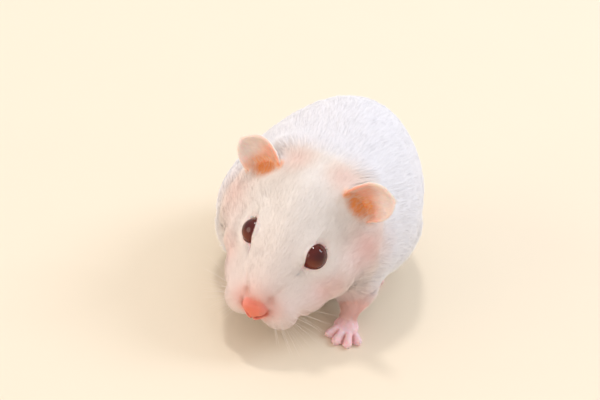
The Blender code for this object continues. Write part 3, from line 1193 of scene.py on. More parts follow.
CLEFT: list[Point] = [(0.0, -15.2, -8.6), (0.0, -14.9, -10.2), (0.0, -13.6, -11.8)]
LIP_MIDDLE: Point = (0.0, -12.6, -13.0)
NOSTRIL: list[Point] = [(0.3, -15.3, -8.7), (1.1, -15.0, -8.5), (2.1, -14.5, -8.1)]
WING: list[Point] = [(2.8, -13.9, -7.6), (3.2, -13.3, -6.9)]
HEAD_GROOVES: list[Groove] = [
    Groove([*CLEFT, LIP_MIDDLE], 0.3, 0.5, 0.7),
    *mirrored(Groove([*NOSTRIL, *WING], 0.34, 0.6, 1.0)),
    *mirrored(Groove([(1.5, -14.8, -8.4), (2.0, -14.6, -8.1), (2.5, -14.2, -7.8)], 0.38, 0.7, 1.0)),
    *mirrored(Groove([LIP_MIDDLE, (2.6, -11.2, -14.1), (5.2, -7.8, -15.1)], 0.4, 0.7, 0.4)),
    *mirrored(Groove([(2.7, -12.0, -5.1), (3.3, -10.6, -4.4), (4.2, -8.7, -3.5)], 0.5, 0.3, 0.5)),
    *mirrored(Groove([(8.6, -10.0, -9.4), (8.6, -9.4, -11.2), (7.6, -8.6, -13.0)], 0.9, 0.4, 0.25)),
]


@dataclass(frozen=True)
class Spot:
    """A soft round patch: where it is, how far it reaches and how strong it is.

    As a swelling of the skin its strength is in millimetres, and below zero for a hollow. Its place
    is in the head's coordinates, or in the model's own where on_head is false.
    """

    centre: Point
    radii: Point
    strength: float = 1.0
    on_head: bool = True

    def at(self, points: np.ndarray) -> np.ndarray:
        """The patch's strength at each point."""
        return bump_at(points, self.centre, self.radii) * self.strength


def paired(spot: Spot) -> list[Spot]:
    """A patch and its mirror image across the middle."""
    x, y, z = spot.centre
    return [spot, Spot((-x, y, z), spot.radii, spot.strength, spot.on_head)]


def added_up(spots: list[Spot], points: np.ndarray) -> np.ndarray:
    """The strengths of several patches together.

    Args:
        spots: The patches.
        points: Points, one a row.

    Returns:
        One number for each point.
    """
    total = np.zeros(len(points))
    for spot in spots:
        total += spot.at(points)
    return total


SWELLINGS: list[Spot] = [
    Spot((0.0, -14.2, -6.6), (1.7, 1.4, 1.8), 0.25),
    *paired(Spot((2.6, -13.6, -6.6), (1.0, 1.0, 1.2), 0.22)),
    *paired(Spot((5.6, -12.0, -11.2), (3.6, 3.2, 3.2), 1.15)),
    *paired(Spot((10.3, -5.2, -10.8), (3.0, 3.0, 3.2), 0.95)),
    Spot((0.0, -14.4, -9.6), (2.6, 2.0, 2.0), 0.45),
    Spot((-21.0, -9.0, 17.5), (8.0, 9.0, 10.0), 1.4, on_head=False),
    Spot((22.0, 9.5, 12.0), (7.0, 9.0, 9.0), -1.3, on_head=False),
]

# The markings, in the head's coordinates with both sides laid on the left one
# on the whisker pads part of the pink is painted warm bounce light from the floor
FLUSHES_AND_BOUNCE_LIGHT: list[Spot] = [
    Spot((15.0, 8.8, -5.4), (4.8, 5.0, 5.2), 0.72),  # below the ears
    Spot((10.6, -3.4, -8.6), (4.2, 4.0, 4.0), 0.70),  # the cheeks
    Spot((13.5, 3.0, -9.0), (4.0, 4.0, 4.0), 0.30),
    Spot((2.8, -12.9, -7.2), (3.0, 2.6, 2.6), 0.75),  # beside the nose
    Spot((5.8, -9.6, -11.2), (4.8, 4.4, 4.4), 0.58),  # the whisker pads, their pink partly painted warm bounce light
    Spot((5.5, 17.0, 4.0), (3.6, 4.0, 3.5), 0.45),  # between the ears
    Spot((2.0, -10.0, -14.0), (4.0, 4.0, 2.6), 0.35),  # the lips
    Spot((0.0, -4.0, -3.0), (9.0, 9.0, 7.0), 0.14),  # the bridge
    Spot((0.0, -11.4, -4.4), (4.6, 3.8, 3.8), 0.34),
    Spot((0.0, -12.9, -5.0), (3.6, 2.4, 2.6), 0.40),  # over the nose
]
# painted warm shade: a pink patch on the upper left foreleg only, over the limbs' own pink
ARM_FLUSH_AND_WARM_SHADE = Spot((15.2, -15.5, 7.0), (3.6, 4.6, 5.2), 0.9, on_head=False)
CROWN = Spot((5.0, 17.0, 4.0), (4.0, 4.5, 3.5), 0.5)
NOSE_PAD = Spot((0.0, -14.0, -7.3), (3.7, 3.0, 3.4))
EAR_HOLLOW = Spot((11.5, 14.9, 1.4), (4.7, 3.9, 3.9))
EAR_PALE = [
    Spot((13.8, 13.0, -2.0), (1.7, 1.8, 1.5), 0.85),  # the lower horn
    Spot((8.8, 19.0, 3.4), (3.2, 2.8, 2.4), 0.85),  # the upper edge
]
EAR_FRINGE = [
    Spot((8.5, 20.0, 2.5), (3.0, 3.2, 3.0)),
    Spot((14.2, 13.2, -2.6), (2.4, 2.2, 2.0)),
]
BEFORE_EAR = Spot((10.8, 13.0, 1.4), (4.4, 3.4, 3.6))
BROW = Spot((9.2, 8.5, 1.5), (3.6, 4.2, 3.6))


@dataclass
class Skin:
    """The one skin over all the flesh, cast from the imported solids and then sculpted.

    Lengths are in millimetres. Rounds count how often the mesh is evened out.
    """

    head: HeadFrame
    eyes: list[Eye]
    voxel: float = 0.36  # the grid of the cast
    swell: float = 0.24  # how far the solids grow so that they meet
    foot_swell: float = 0.46
    ear_swell: float = 0.16
    ear_size: float = 0.95
    ear_base: Point = (9.4, 15.0, 2.6)
    ear_shift: Point = (-0.7, 0.25, 0.5)
    eye_room: float = 0.2
    sheath: float = 0.42  # the radius of the skin round a claw's root
    foot_height: float = 3.4
    relax_rounds: int = 30
    fill_rounds: int = 26
    fill_share: float = 0.7
    toe_swell: float = 0.42
    cleft_width: float = 0.3
    cleft_depth: float = 0.5
    floor_gap: float = 0.02
    surface: Surface = field(init=False)
    piece: bpy.types.Object = field(init=False)
    labels: np.ndarray = field(init=False)
    fields: dict[str, np.ndarray] = field(init=False)

    def _swollen(self, name: str) -> bmesh.types.BMesh:
        """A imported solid, welded and swollen so that it meets its neighbours.

        Args:
            name: The solid's node.

        Returns:
            The swollen form.
        """
        form = bmesh.new()
        form.from_mesh(bpy.data.objects[name].data)
        bmesh.ops.remove_doubles(form, verts=form.verts[:], dist=1e-6)
        form.normal_update()
        swell = self.foot_swell if FLESH[name] in FEET else self.swell
        if FLESH[name] is Region.EAR:
            swell = self.ear_swell
            mirror = np.array((1.0 if name.endswith("left") else -1.0, 1.0, 1.0))
            base = Vector(self.head.outside(np.array(self.ear_base) * mirror))
            shift = Vector(np.array(self.ear_shift) * mirror) * MM
            for vertex in form.verts:
                vertex.co = base + (vertex.co - base) * self.ear_size + shift
        for vertex in form.verts:
            vertex.co += vertex.normal * swell * MM
        return form

    def _claw_sheath(self, form: bmesh.types.BMesh, name: str) -> None:
        """Adds the small swelling of skin that a claw grows from.

        Args:
            form: Where it is added.
            name: The claw's node.
        """
        low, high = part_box(name)
        middle = (low + high) / 2
        foot = "forefoot" if "fore" in name else "hindfoot"
        side = "left" if "left" in name else "right"
        foot_low, foot_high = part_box(f"{foot}_{side}")
        foot_middle = (foot_low + foot_high) / 2
        points = [v.co.copy() for v in bpy.data.objects[name].data.vertices]
        root = min(points, key=lambda p: (p - foot_middle).length)
        inward = (root - middle).normalized()
        for step in (0.0, 0.35):
            spot = root.lerp(middle, 0.15) + inward * step * MM
            matrix = Matrix.Translation(spot) @ Matrix.Scale(self.sheath * MM, 4)
            bmesh.ops.create_icosphere(form, subdivisions=2, radius=1.0, matrix=matrix)

    def _cast(self) -> bpy.types.Mesh:
        """Melts all the flesh into one closed mesh.

        Returns:
            The mesh.
        """
        whole = bmesh.new()
        for name in FLESH:
            part = self._swollen(name)
            mesh = bpy.data.meshes.new("cast")
            part.to_mesh(mesh)
            part.free()
            whole.from_mesh(mesh)
            bpy.data.meshes.remove(mesh)
        for eye in self.eyes:
            size = (eye.radius + self.eye_room) * MM
            matrix = Matrix.Translation(eye.centre) @ Matrix.Scale(size, 4)
            bmesh.ops.create_icosphere(whole, subdivisions=4, radius=1.0, matrix=matrix)
        for name in (obj.name for obj in bpy.data.objects if obj.name.startswith("claw_")):
            self._claw_sheath(whole, name)
        mesh = bpy.data.meshes.new("cast")
        whole.to_mesh(mesh)
        whole.free()
        obj = link_object("cast", mesh)
        melt = obj.modifiers.new("melt", "REMESH")
        melt.mode = "VOXEL"
        melt.voxel_size = self.voxel * MM
        graph = bpy.context.evaluated_depsgraph_get()
        melted = bpy.data.meshes.new_from_object(obj.evaluated_get(graph))
        bpy.data.objects.remove(obj)
        bpy.data.meshes.remove(mesh)
        return melted

    def _refine(self, mesh: bpy.types.Mesh) -> None:
        """Cuts the faces of the lids, the feet and the nose finer.

        Args:
            mesh: The skin's mesh.
        """
        form = bmesh.new()
        form.from_mesh(mesh)
        form.verts.ensure_lookup_table()
        points = np.array([v.co for v in form.verts])
        local = self.head.inside(points)
        middle, radii = (0.0, -13.6, -8.0), (4.4, 3.0, 4.2)
        nose = np.linalg.norm((local - middle) / radii, axis=1) < 1.0
        fine = np.zeros(len(points), bool)
        for name, region in FLESH.items():
            if region in FEET:
                low, high = (np.array(end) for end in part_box(name))
                high[2] = min(high[2], self.foot_height * MM)
                fine |= np.all((points > low - 0.6 * MM) & (points < high + 0.6 * MM), axis=1)
        for eye in self.eyes:
            reach, tilt, _ = eye.polar(points)
            fine |= (reach < eye.radius + 1.6) & (tilt < math.radians(100.0))
        ends = np.array([(e.verts[0].index, e.verts[1].index) for e in form.edges])
        all_edges = list(form.edges)
        for zone, cuts in ((fine & ~nose, 1), (nose, 2)):
            chosen = [all_edges[i] for i in np.flatnonzero(zone[ends].all(axis=1))]
            bmesh.ops.subdivide_edges(form, edges=chosen, cuts=cuts, use_grid_fill=True)
        form.to_mesh(mesh)
        form.free()

    def _label(self) -> None:
        """Finds which region each point of the skin belongs to."""
        corners, faces, owner = [], [], []
        for name, region in FLESH.items():
            mesh = bpy.data.objects[name].data
            start = len(corners)
            corners.extend(v.co.copy() for v in mesh.vertices)
            faces.extend([start + i for i in poly.vertices] for poly in mesh.polygons)
            owner.extend([region.value] * len(mesh.polygons))
        tree = BVHTree.FromPolygons(corners, faces)
        found = [tree.find_nearest(Vector(p))[2] for p in self.surface.points]
        self.labels = np.array(owner)[np.array(found)]
        for eye in self.eyes:
            reach, tilt, _ = eye.polar(self.surface.points)
            lid = (reach < eye.radius + 0.9) & (tilt < math.radians(96.0))
            self.labels[lid] = Region.LID.value

    def mask(self, *regions: Region) -> np.ndarray:
        """1 at the points of these regions, 0 elsewhere."""
        return np.isin(self.labels, [region.value for region in regions]).astype(float)

    def _relax(self) -> None:
        """Evens the facets of the solids out, least on the ears and feet."""
        fine = self.mask(Region.EAR, *FEET, Region.TAIL, Region.NOSE, Region.LID)
        share = 0.55 - 0.47 * self.surface.spread(fine, 3)
        before = self.surface.points
        after = self.surface.spread(before, self.relax_rounds, share)
        normals = self.surface.normals()
        lost = np.einsum("ij,ij->i", before - after, normals)
        after += normals * self.surface.spread(lost, 40)[:, None]
        self.surface.points = after
        ears = self.surface.spread(self.mask(Region.EAR), 2)
        for _ in range(self.fill_rounds):
            normals = self.surface.normals()
            pull = self.surface.neighbours_mean(self.surface.points) - self.surface.points
            fill = np.maximum(np.einsum("ij,ij->i", pull, normals), 0.0) * ears
            fill *= self.fill_share
            self.surface.points = self.surface.points + normals * fill[:, None]

    def _cut_fields(self) -> None:
        """Reads the coat's cut at every point, shorter towards the nose and the eyes."""
        cuts = {region.value: cut for region, cut in COAT_CUTS.items()}
        self.fields = {}
        for key in ("depth", "length", "width", "density", "lift"):
            values = np.array([getattr(cuts[label], key) for label in range(len(Region))])
            rounds = 12 if key == "density" else 40
            self.fields[key] = self.surface.spread(values[self.labels], rounds)
        local = self.head.inside(self.surface.points)
        from_nose = np.linalg.norm(local - NOSE_TIP, axis=1)
        on_head = self.surface.spread(self.mask(Region.HEAD, Region.NOSE, Region.LID), 30)
        short = 1.0 - on_head * (1.0 - grown(from_nose, 0.16, 2.0, 19.0))
        self.fields["length"] *= short
        self.fields["width"] *= 0.45 + 0.55 * short
        self.fields["depth"] *= 1.0 - on_head * (1.0 - grown(from_nose, 0.12, 2.4, 13.0))
        self.fields["density"] *= 1.0 + 0.8 * on_head * (1.0 - short)
        for eye in self.eyes:
            margin = self.margin(eye)
            self.fields["depth"] *= grown(margin, 0.1, 0.2, 3.4)
            self.fields["length"] *= grown(margin, 0.25, 0.0, 5.0)

    def margin(self, eye: Eye) -> np.ndarray:
        """How far each point lies outside an eye's opening, in millimetres."""
        reach, _, _ = eye.polar(self.surface.points)
        return np.maximum(eye.margin(self.surface.points), reach - eye.radius - 0.6)

    def _sink(self) -> None:
        """Moves the skin in by the coat's depth."""
        normals = self.surface.spread(self.surface.normals(), 4)
        bare = self.mask(Region.EAR, *FEET)
        inset = self.fields["depth"] + self.swell * (1.0 - bare * 0.7)
        inset = self.surface.spread(inset, 6)
        self.surface.points -= unit(normals) * (inset * MM)[:, None]

    def _swell(self) -> None:
        """Raises the whisker pads and the cheeks, and evens the flanks."""
        for swelling in SWELLINGS:
            spots = self.surface.points / MM
            if swelling.on_head:
                spots = self.head.inside(self.surface.points)
            self.surface.points += self.surface.normals() * (swelling.at(spots) * MM)[:, None]

    def _form_lids(self) -> None:
        """Wraps the lids round the eyeballs and evens the skin about them."""
        for eye in self.eyes:
            self.surface.points = eye.wrap(self.surface.points)
            margin = self.margin(eye)
            ring = ramp(margin, 0.2, 0.9) * (1.0 - ramp(margin, 2.4, 4.2))
            self.surface.points = self.surface.spread(self.surface.points, 14, 0.5 * ring)
            self.surface.points = eye.wrap(self.surface.points)

    @staticmethod
    def _laid_on(tree: KDTree, path: list[Point]) -> list[Point]:
        """A line of the head's coordinates, cut finer and laid on the skin.

        Args:
            tree: The skin's points.
            path: The corners of the line.

        Returns:
            The new corners.
        """
        steps = np.linspace(0.0, len(path) - 1.0, 6 * (len(path) - 1) + 1)
        corners = np.array(path)
        rows = [np.interp(steps, range(len(path)), corners[:, k]) for k in range(3)]
        fine = np.stack(rows, axis=1)
        return [tuple(tree.find(spot)[0]) for spot in fine]

    def _sculpt(self) -> None:
        """Presses the nostrils, the lip's cleft, the mouth and the creases in."""
        local = self.head.inside(self.surface.points)
        normals = self.surface.normals()
        self.fields["blush"] = np.zeros(len(local))
        tree = KDTree(len(local))
        for i, spot in enumerate(local):
            tree.insert(spot, i)
        tree.balance()
        for groove in HEAD_GROOVES:
            gap, along = distance_to_path(local, self._laid_on(tree, groove.path))
            fade = np.sin(math.pi * np.clip(along, 0.04, 0.96)) ** 0.4
            press = np.exp(-((gap / groove.width) ** 2)) * fade
            self.surface.points -= normals * (press * groove.depth * MM)[:, None]
            # the crease mask: it flushes the skin pink and carries the painted crease shade
            blush = np.exp(-((gap / (groove.width * 1.9)) ** 2)) * fade * groove.blush
            self.fields["blush"] = np.maximum(self.fields["blush"], blush)

    def _shape_toes(self) -> None:
        """Rounds the toes' tips under the claws and presses a cleft between each two toes."""
        spots = self.surface.points / MM
        normals = self.surface.normals()
        on_floor = (1.0, 1.0, 0.0)
        low = spots[:, 2] < self.foot_height
        for foot in packed_feet():
            for claw in foot.claws:
                back = unit(foot.heel - claw * on_floor)
                push = bump_at(spots, tuple(claw + back), (1.0, 1.0, 1.0)) * self.toe_swell
                self.surface.points += normals * (push * MM)[:, None]
            for one, two in zip(foot.claws, foot.claws[1:]):
                between = (one + two) / 2 * on_floor
                inward = foot.heel - between
                path = [between + inward * 0.05, between + inward * 0.42]
                gap, along = distance_to_path(spots * on_floor, path)
                near = np.exp(-((gap / self.cleft_width) ** 2)) * low
                near *= 1.0 - ramp(along, 0.6, 1.0)
                press = near * ramp(normals[:, 2], -0.3, 0.3) * self.cleft_depth
                self.surface.points -= normals * (press * MM)[:, None]
                # the clefts between the toes are flushed pink and get painted shade
                self.fields["blush"] = np.maximum(self.fields["blush"], 0.8 * near)

    def _unwrap(self) -> None:
        """Gives the skin a map of its own shape."""
        bpy.context.view_layer.objects.active = self.piece
        self.piece.select_set(True)
        self.piece.data.uv_layers.new(name=BAKE_MAP)
        bpy.ops.object.mode_set(mode="EDIT")
        bpy.ops.mesh.select_all(action="SELECT")
        bpy.ops.uv.smart_project(angle_limit=math.radians(62.0), island_margin=0.003)
        bpy.ops.object.mode_set(mode="OBJECT")
        self.piece.select_set(False)

    def build(self, material: bpy.types.Material) -> None:
        """Casts, sculpts and marks the skin.

        Args:
            material: The skin's finish.
        """
        mesh = self._cast()
        self._refine(mesh)
        self.surface = Surface(mesh)
        self._label()
        self._relax()
        self._cut_fields()
        self._sink()
        self._swell()
        self._form_lids()
        self._sculpt()
        self._shape_toes()
        heights = self.surface.points[:, 2]
        self.surface.points[:, 2] = np.maximum(heights, self.floor_gap * MM)
        markings = Markings(self)
        markings.paint()
        markings.trim_coat()
        self.surface.write()
        mesh.name = "skin"
        mesh.shade_smooth()
        add_attribute(mesh, "markings", "FLOAT_COLOR", self.fields["marks"])
        add_attribute(mesh, "bareness", "FLOAT", self.fields["bare"])
        self.piece = link_object("skin", mesh, material)
        self._unwrap()
        enter_piece(self.piece, "bare_skin", *FLESH)


# ---------------------------------------------------------------- the markings


@dataclass
class Markings:
    """The animal's markings and painted crease shade; how its coat gives way about the nose, the
    ears and the brows.

    Every field but the first has one row or number for each point of the skin.
    """

    skin: Skin
    folded: np.ndarray = field(init=False)  # the head's coordinates, both sides laid on the left
    right: np.ndarray = field(init=False)  # the right side of the face
    on_head: np.ndarray = field(init=False)
    ear: np.ndarray = field(init=False)
    rim: np.ndarray = field(init=False)  # the edge of an ear
    inner: np.ndarray = field(init=False)  # the inner side of an ear
    hollow: np.ndarray = field(init=False)  # the hollow of an ear
    cup: np.ndarray = field(init=False)  # the deepest part of the hollow
    turned: np.ndarray = field(init=False)  # how squarely the skin faces the ears' way
    feet: np.ndarray = field(init=False)
    legs: np.ndarray = field(init=False)
    pad: np.ndarray = field(init=False)  # the nose pad and the skin round it
    nose: np.ndarray = field(init=False)  # the nose pad alone

    def __post_init__(self) -> None:
        """Finds where the things that the markings follow lie."""
        surface, mask = self.skin.surface, self.skin.mask
        local = self.skin.head.inside(surface.points)
        self.folded = np.stack((np.abs(local[:, 0]), local[:, 1], local[:, 2]), axis=1)
        self.right = ramp(-local[:, 0], 4.0, 13.0)
        self.on_head = surface.spread(mask(Region.HEAD, Region.LID, Region.NOSE), 50)
        self.feet = surface.spread(mask(*FEET, Region.TAIL), 10)
        self.legs = surface.spread(mask(Region.FORELEG), 14)
        self.pad = NOSE_PAD.at(self.folded)
        self.nose = ramp(self.pad, 0.18, 0.95)
        facing = self.skin.head.turned(sided(local, EAR_OPENING))
        self.turned = np.einsum("ij,ij->i", surface.normals(), facing)
        self.ear = surface.spread(mask(Region.EAR), 4)
        edge = surface.spread(mask(Region.EAR) * ramp(np.abs(self.turned), 0.75, 0.45), 6)
        self.rim = np.clip(1.6 * edge, 0.0, 1.0)
        self.inner = ramp(self.turned, -0.1, 0.45)
        self.hollow = EAR_HOLLOW.at(self.folded) * self.inner
        self.cup = ramp(self.hollow, 0.15, 0.95)

    def _flush(self) -> np.ndarray:
        """How pink each point is, where blood shows through, and where warm light is painted.

        Returns:
            Numbers from 0 upwards.
        """
        flush = added_up(FLUSHES_AND_BOUNCE_LIGHT, self.folded)
        flush *= 1.0 - 0.35 * self.right
        flush += 0.85 * self.legs
        # the left foreleg's patch is painted warm shade over its own pink
        flush += ARM_FLUSH_AND_WARM_SHADE.at(self.skin.surface.points / MM)
        flush = np.maximum(flush, 0.12 * self.feet)
        flush = np.maximum(flush, 0.95 * ramp(self.pad, 0.04, 0.6))
        flush = np.maximum(flush, self.skin.fields["blush"] * 0.9)
        for eye in self.skin.eyes:
            flush = np.maximum(flush, 0.35 * (1.0 - ramp(self.skin.margin(eye), 0.0, 0.4)))
        flush = np.maximum(flush, self.ear * 0.06)
        return np.minimum(flush, 1.0) * (1.0 - 0.5 * self.rim)

    def _warmth(self) -> np.ndarray:
        """How creamy each point is.

        Returns:
            Numbers from 0 upwards.
        """
        warm = 0.62 * self.on_head + CROWN.at(self.folded)
        warm = np.maximum(warm, self.ear * (0.25 + 0.5 * self.inner))
        return np.maximum(warm, 0.9 * self.rim)

    def _glow(self) -> np.ndarray:
        """How strongly blood glows through: most in the ears' hollows, least at their tips.

        Returns:
            Numbers from 0 to 1.
        """
        along = (self.folded - EAR_ROOT) @ unit(np.array(EAR_AXIS))
        glow = (1.0 - ramp(along, 1.0, 7.5)) * np.clip(self.ear * 1.3, 0.0, 1.0)
        glow = np.maximum(glow * self.inner, 1.1 * self.cup)
        for pale in EAR_PALE:
            glow *= 1.0 - pale.at(self.folded)
        glow = np.maximum(glow, 0.55 * self.nose)
        glow = np.maximum(glow, 0.6 * self.skin.fields["blush"] * ramp(self.pad, 0.04, 0.2))
        return np.minimum(glow, 1.0) * (1.0 - 0.75 * self.rim)

    def _clearness(self) -> np.ndarray:
        """How clear of painted crease shade each point is.

        Returns:
            1 on open skin, less where shade is painted into a crease or a toe cleft, and less on
            the nose pad, where it deepens the pad's own red.
        """
        seen = np.maximum(ramp(self.pad, 0.04, 0.2), 0.3 * self.feet)
        return 1.0 - np.maximum(self.skin.fields["blush"] * seen, 0.34 * self.nose)

    def _bareness(self) -> np.ndarray:
        """How bare of hair each point is.

        Returns:
            Numbers from 0 to 1.
        """
        furless = [ramp(self.pad, 0.12, 0.5), self.feet, self.ear]
        furless += [self.legs * 0.4, 2.5 * self.hollow]
        bare = np.clip(np.maximum.reduce(furless), 0.0, 1.0)
        for eye in self.skin.eyes:
            bare = np.maximum(bare, 1.0 - ramp(self.skin.margin(eye), 0.05, 0.3))
        return bare

    def paint(self) -> None:
        """Gives the skin its markings, its painted crease shade and its bare places."""
        layers = (self._flush(), self._warmth(), self._glow(), self._clearness())
        self.skin.fields["marks"] = np.clip(np.stack(layers, axis=1), 0.0, 1.0)
        self.skin.fields["bare"] = self._bareness()

    def trim_coat(self) -> None:
        """Thins, lengthens and lifts the coat about the nose, the ears and the brows."""
        surface, fields = self.skin.surface, self.skin.fields
        off_ear, outer = 1.0 - self.ear, 1.0 - self.inner
        fringe = added_up(EAR_FRINGE, self.folded) * off_ear
        fields["density"] *= 1.0 - ramp(self.pad, 0.1, 0.74)
        fields["density"] *= 1.0 - 0.7 * np.clip(1.3 * self.cup, 0.0, 1.0) * off_ear
        fields["density"] += 40.0 * self.ear * outer
        fields["density"] *= 1.0 - self.rim * (1.0 - ramp(self.turned, 0.2, 0.6))
        fields["length"] *= 1.0 - 0.35 * (BEFORE_EAR.at(self.folded) * off_ear)
        fields["length"] += 0.5 * self.ear * outer * (1.0 - self.rim) + 1.7 * fringe
        fields["lift"] += 7.0 * (BROW.at(self.folded) * self.on_head * off_ear)
        fields["lift"] += 18.0 * fringe
        fields["fringe"] = np.clip(fringe, 0.0, 1.0)
        fields["shade"] = surface.spread(surface.normals(), 2)
        fields["on_head"], fields["ear"] = self.on_head, self.ear


# ---------------------------------------------------------------- the coat


@dataclass
class Tufts:
    """Tufts as arrays, one row for each: where they stand and how they are cut."""

    root: np.ndarray
    normal: np.ndarray
    comb: np.ndarray
    bend: np.ndarray
    length: np.ndarray
    width: np.ndarray
    lift: np.ndarray
    shade: np.ndarray
    marks: np.ndarray
    map_at: np.ndarray
    head: np.ndarray

    def chosen(self, keep: np.ndarray) -> Tufts:
        """The tufts that a mask or a list of rows picks."""
        return Tufts(**{key: value[keep] for key, value in vars(self).items()})

    def count(self) -> int:
        """How many tufts there are."""
        return len(self.root)


# One tuft: its corners on the bake map, its two faces' corners, and how far along it each point is
TUFT_MAP = np.array(((-0.4, -0.5), (0.4, -0.5), (0.4, 0.0), (-0.4, 0.0), (0.0, 0.5)))
TUFT_LOOPS = (0, 3, 2, 1, 3, 4, 2)
TUFT_ALONG = np.array((0.0, 0.0, 0.6, 0.6, 1.0))


# The way the coat lies on the limbs and the tail
COMB_WAYS: dict[Region, Point] = {
    Region.THIGH: (0.0, 0.75, -0.7),
    Region.FORELEG: (0.0, -0.35, -1.0),
    Region.FOREFOOT: (0.0, -1.0, -0.3),
    Region.HINDFOOT: (0.0, -1.0, -0.3),
    Region.TAIL: (0.0, 0.86, -0.5),
}


@dataclass
class Coat:
    """The short plush coat, as thin tapering tufts that lie along the body.

    Reaches are in millimetres, turns in degrees, and pairs are the ends of an even spread.
    """

    skin: Skin
    head: HeadFrame
    thinning: float = 1.0
    most_tufts: int = 65000
    nose_reach: float = 15.0
    crown_way: Point = (0.0, 1.0, -0.12)
    eye_reach: float = 0.9
    side_drop: float = 0.34
    rump_drop: float = 0.9
    clump_every: int = 14
    clump_reach: float = 1.2
    clump_share: float = 0.20  # less by clump_ease on the head
    clump_ease: float = 0.10
    patch: float = 0.003
    lengths: tuple[float, float] = (0.72, 1.18)
    lifts: tuple[float, float] = (0.7, 1.3)
    glows: tuple[float, float] = (0.55, 1.4)
    bends: tuple[float, float] = (-60.0, 260.0)
    swirl: float = 3.0
    stray: float = 6.5
    roll: float = 13.0
    soft_stray: float = 0.12
    soft_lean: float = 0.15
    floor_gap: float = 0.12

    def _face_way(self, points: np.ndarray) -> np.ndarray:
        """The way the coat lies on the face: away from the nose and from the eyes.

        Args:
            points: The skin's points.

        Returns:
            One direction for each.
        """
        from_nose = self.head.inside(points) - (0.0, -14.2, NOSE_TIP[2])
        reach = np.linalg.norm(from_nose, axis=1)
        share = np.exp(-reach / self.nose_reach)[:, None]
        face = unit(from_nose) * share + np.array(self.crown_way) * (1.0 - share)
        face = unit(self.head.turned(face))
        for eye in self.skin.eyes:
            gap = np.maximum(self.skin.margin(eye), 0.0)
            face += eye.outward(points) * (3.0 * np.exp(-gap / self.eye_reach))[:, None]
        return face

    def _body_way(self, normals: np.ndarray) -> np.ndarray:
        """The way the coat lies on the body: backwards, and down at the sides and the rump.

        Args:
            normals: The skin's directions.

        Returns:
            One direction for each.
        """
        low = ramp(-normals[:, 2], -0.2, 0.6)
        rear = ramp(normals[:, 1], 0.2, 0.9)
        body = np.zeros_like(normals)
        body[:, 1] = 1.0
        body[:, 2] = -self.side_drop * (1.0 - low) - self.rump_drop * rear
        return body

    def comb_field(self) -> np.ndarray:
        """The way the coat lies at each point of the skin.

        Returns:
            Unit vectors along the skin.
        """
        surface, fields = self.skin.surface, self.skin.fields
        points, normals = surface.points, surface.normals()
        on_head = fields["on_head"][:, None]
        comb = self._face_way(points) * on_head + self._body_way(normals) * (1.0 - on_head)
        for region, way in COMB_WAYS.items():
            weight = surface.spread(self.skin.mask(region), 16)[:, None]
            comb = comb * (1.0 - weight) + unit(np.array(way)) * weight
        ear_way = self.head.turned(sided(self.head.inside(points), EAR_AXIS))
        weight = np.maximum(fields["ear"], 0.85 * fields["fringe"])[:, None]
        comb = comb * (1.0 - weight) + ear_way * weight
        for _ in range(4):
            comb = surface.spread(comb, 5)
            comb -= normals * np.einsum("ij,ij->i", comb, normals)[:, None]
        return unit(comb)

    def _scatter(self, comb: np.ndarray, chance: np.random.Generator) -> Tufts:
        """Chooses the roots, evenly over the skin by the density of each place.

        Args:
            comb: The way the coat lies at each point of the skin.
            chance: The source of random numbers.

        Returns:
            The tufts.
        """
        surface, fields = self.skin.surface, self.skin.fields
        mesh = surface.mesh
        corners = surface.corners
        a, b, c = (surface.points[corners[:, k]] for k in range(3))
        area = np.linalg.norm(np.cross(b - a, c - a), axis=1) / 2 / MM**2
        density = fields["density"].copy()
        for eye in self.skin.eyes:
            density *= ramp(self.skin.margin(eye), 0.02, 0.14)
        expected = area * density[corners].mean(axis=1) * self.thinning
        count = np.floor(expected + chance.random(len(expected))).astype(np.int64)
        face = np.repeat(np.arange(len(area)), count)
        first, second = chance.random(len(face)), chance.random(len(face))
        flip = first + second > 1.0
        first[flip], second[flip] = 1.0 - first[flip], 1.0 - second[flip]
        weights = np.stack((1.0 - first - second, first, second), axis=1)

        def read(values: np.ndarray) -> np.ndarray:
            """Values of the skin's points, read at the roots."""
            found = values[corners[face]]
            return np.einsum("ij,ij...->i...", weights, found)

        loops = np.empty(len(mesh.loop_triangles) * 3, np.int64)
        mesh.calc_loop_triangles()
        mesh.loop_triangles.foreach_get("loops", loops)
        flat = np.empty(len(mesh.loops) * 2, np.float32)
        mesh.uv_layers[BAKE_MAP].uv.foreach_get("vector", flat)
        corner_map = flat.reshape(-1, 2)[loops.reshape(-1, 3)[face]]
        marks = read(fields["marks"])
        marks[:, 2] *= chance.uniform(*self.glows, len(face))
        return Tufts(
            root=read(surface.points),
            normal=unit(read(surface.normals())),
            comb=unit(read(comb)),
            bend=read(surface.bending(comb)),
            length=read(fields["length"]) * MM,
            width=read(fields["width"]) * MM,
            lift=np.radians(read(fields["lift"])),
            shade=unit(read(fields["shade"])),
            marks=np.clip(marks, 0.0, 1.0),
            map_at=np.einsum("ij,ijk->ik", weights, corner_map),
            head=read(fields["on_head"]),
        )

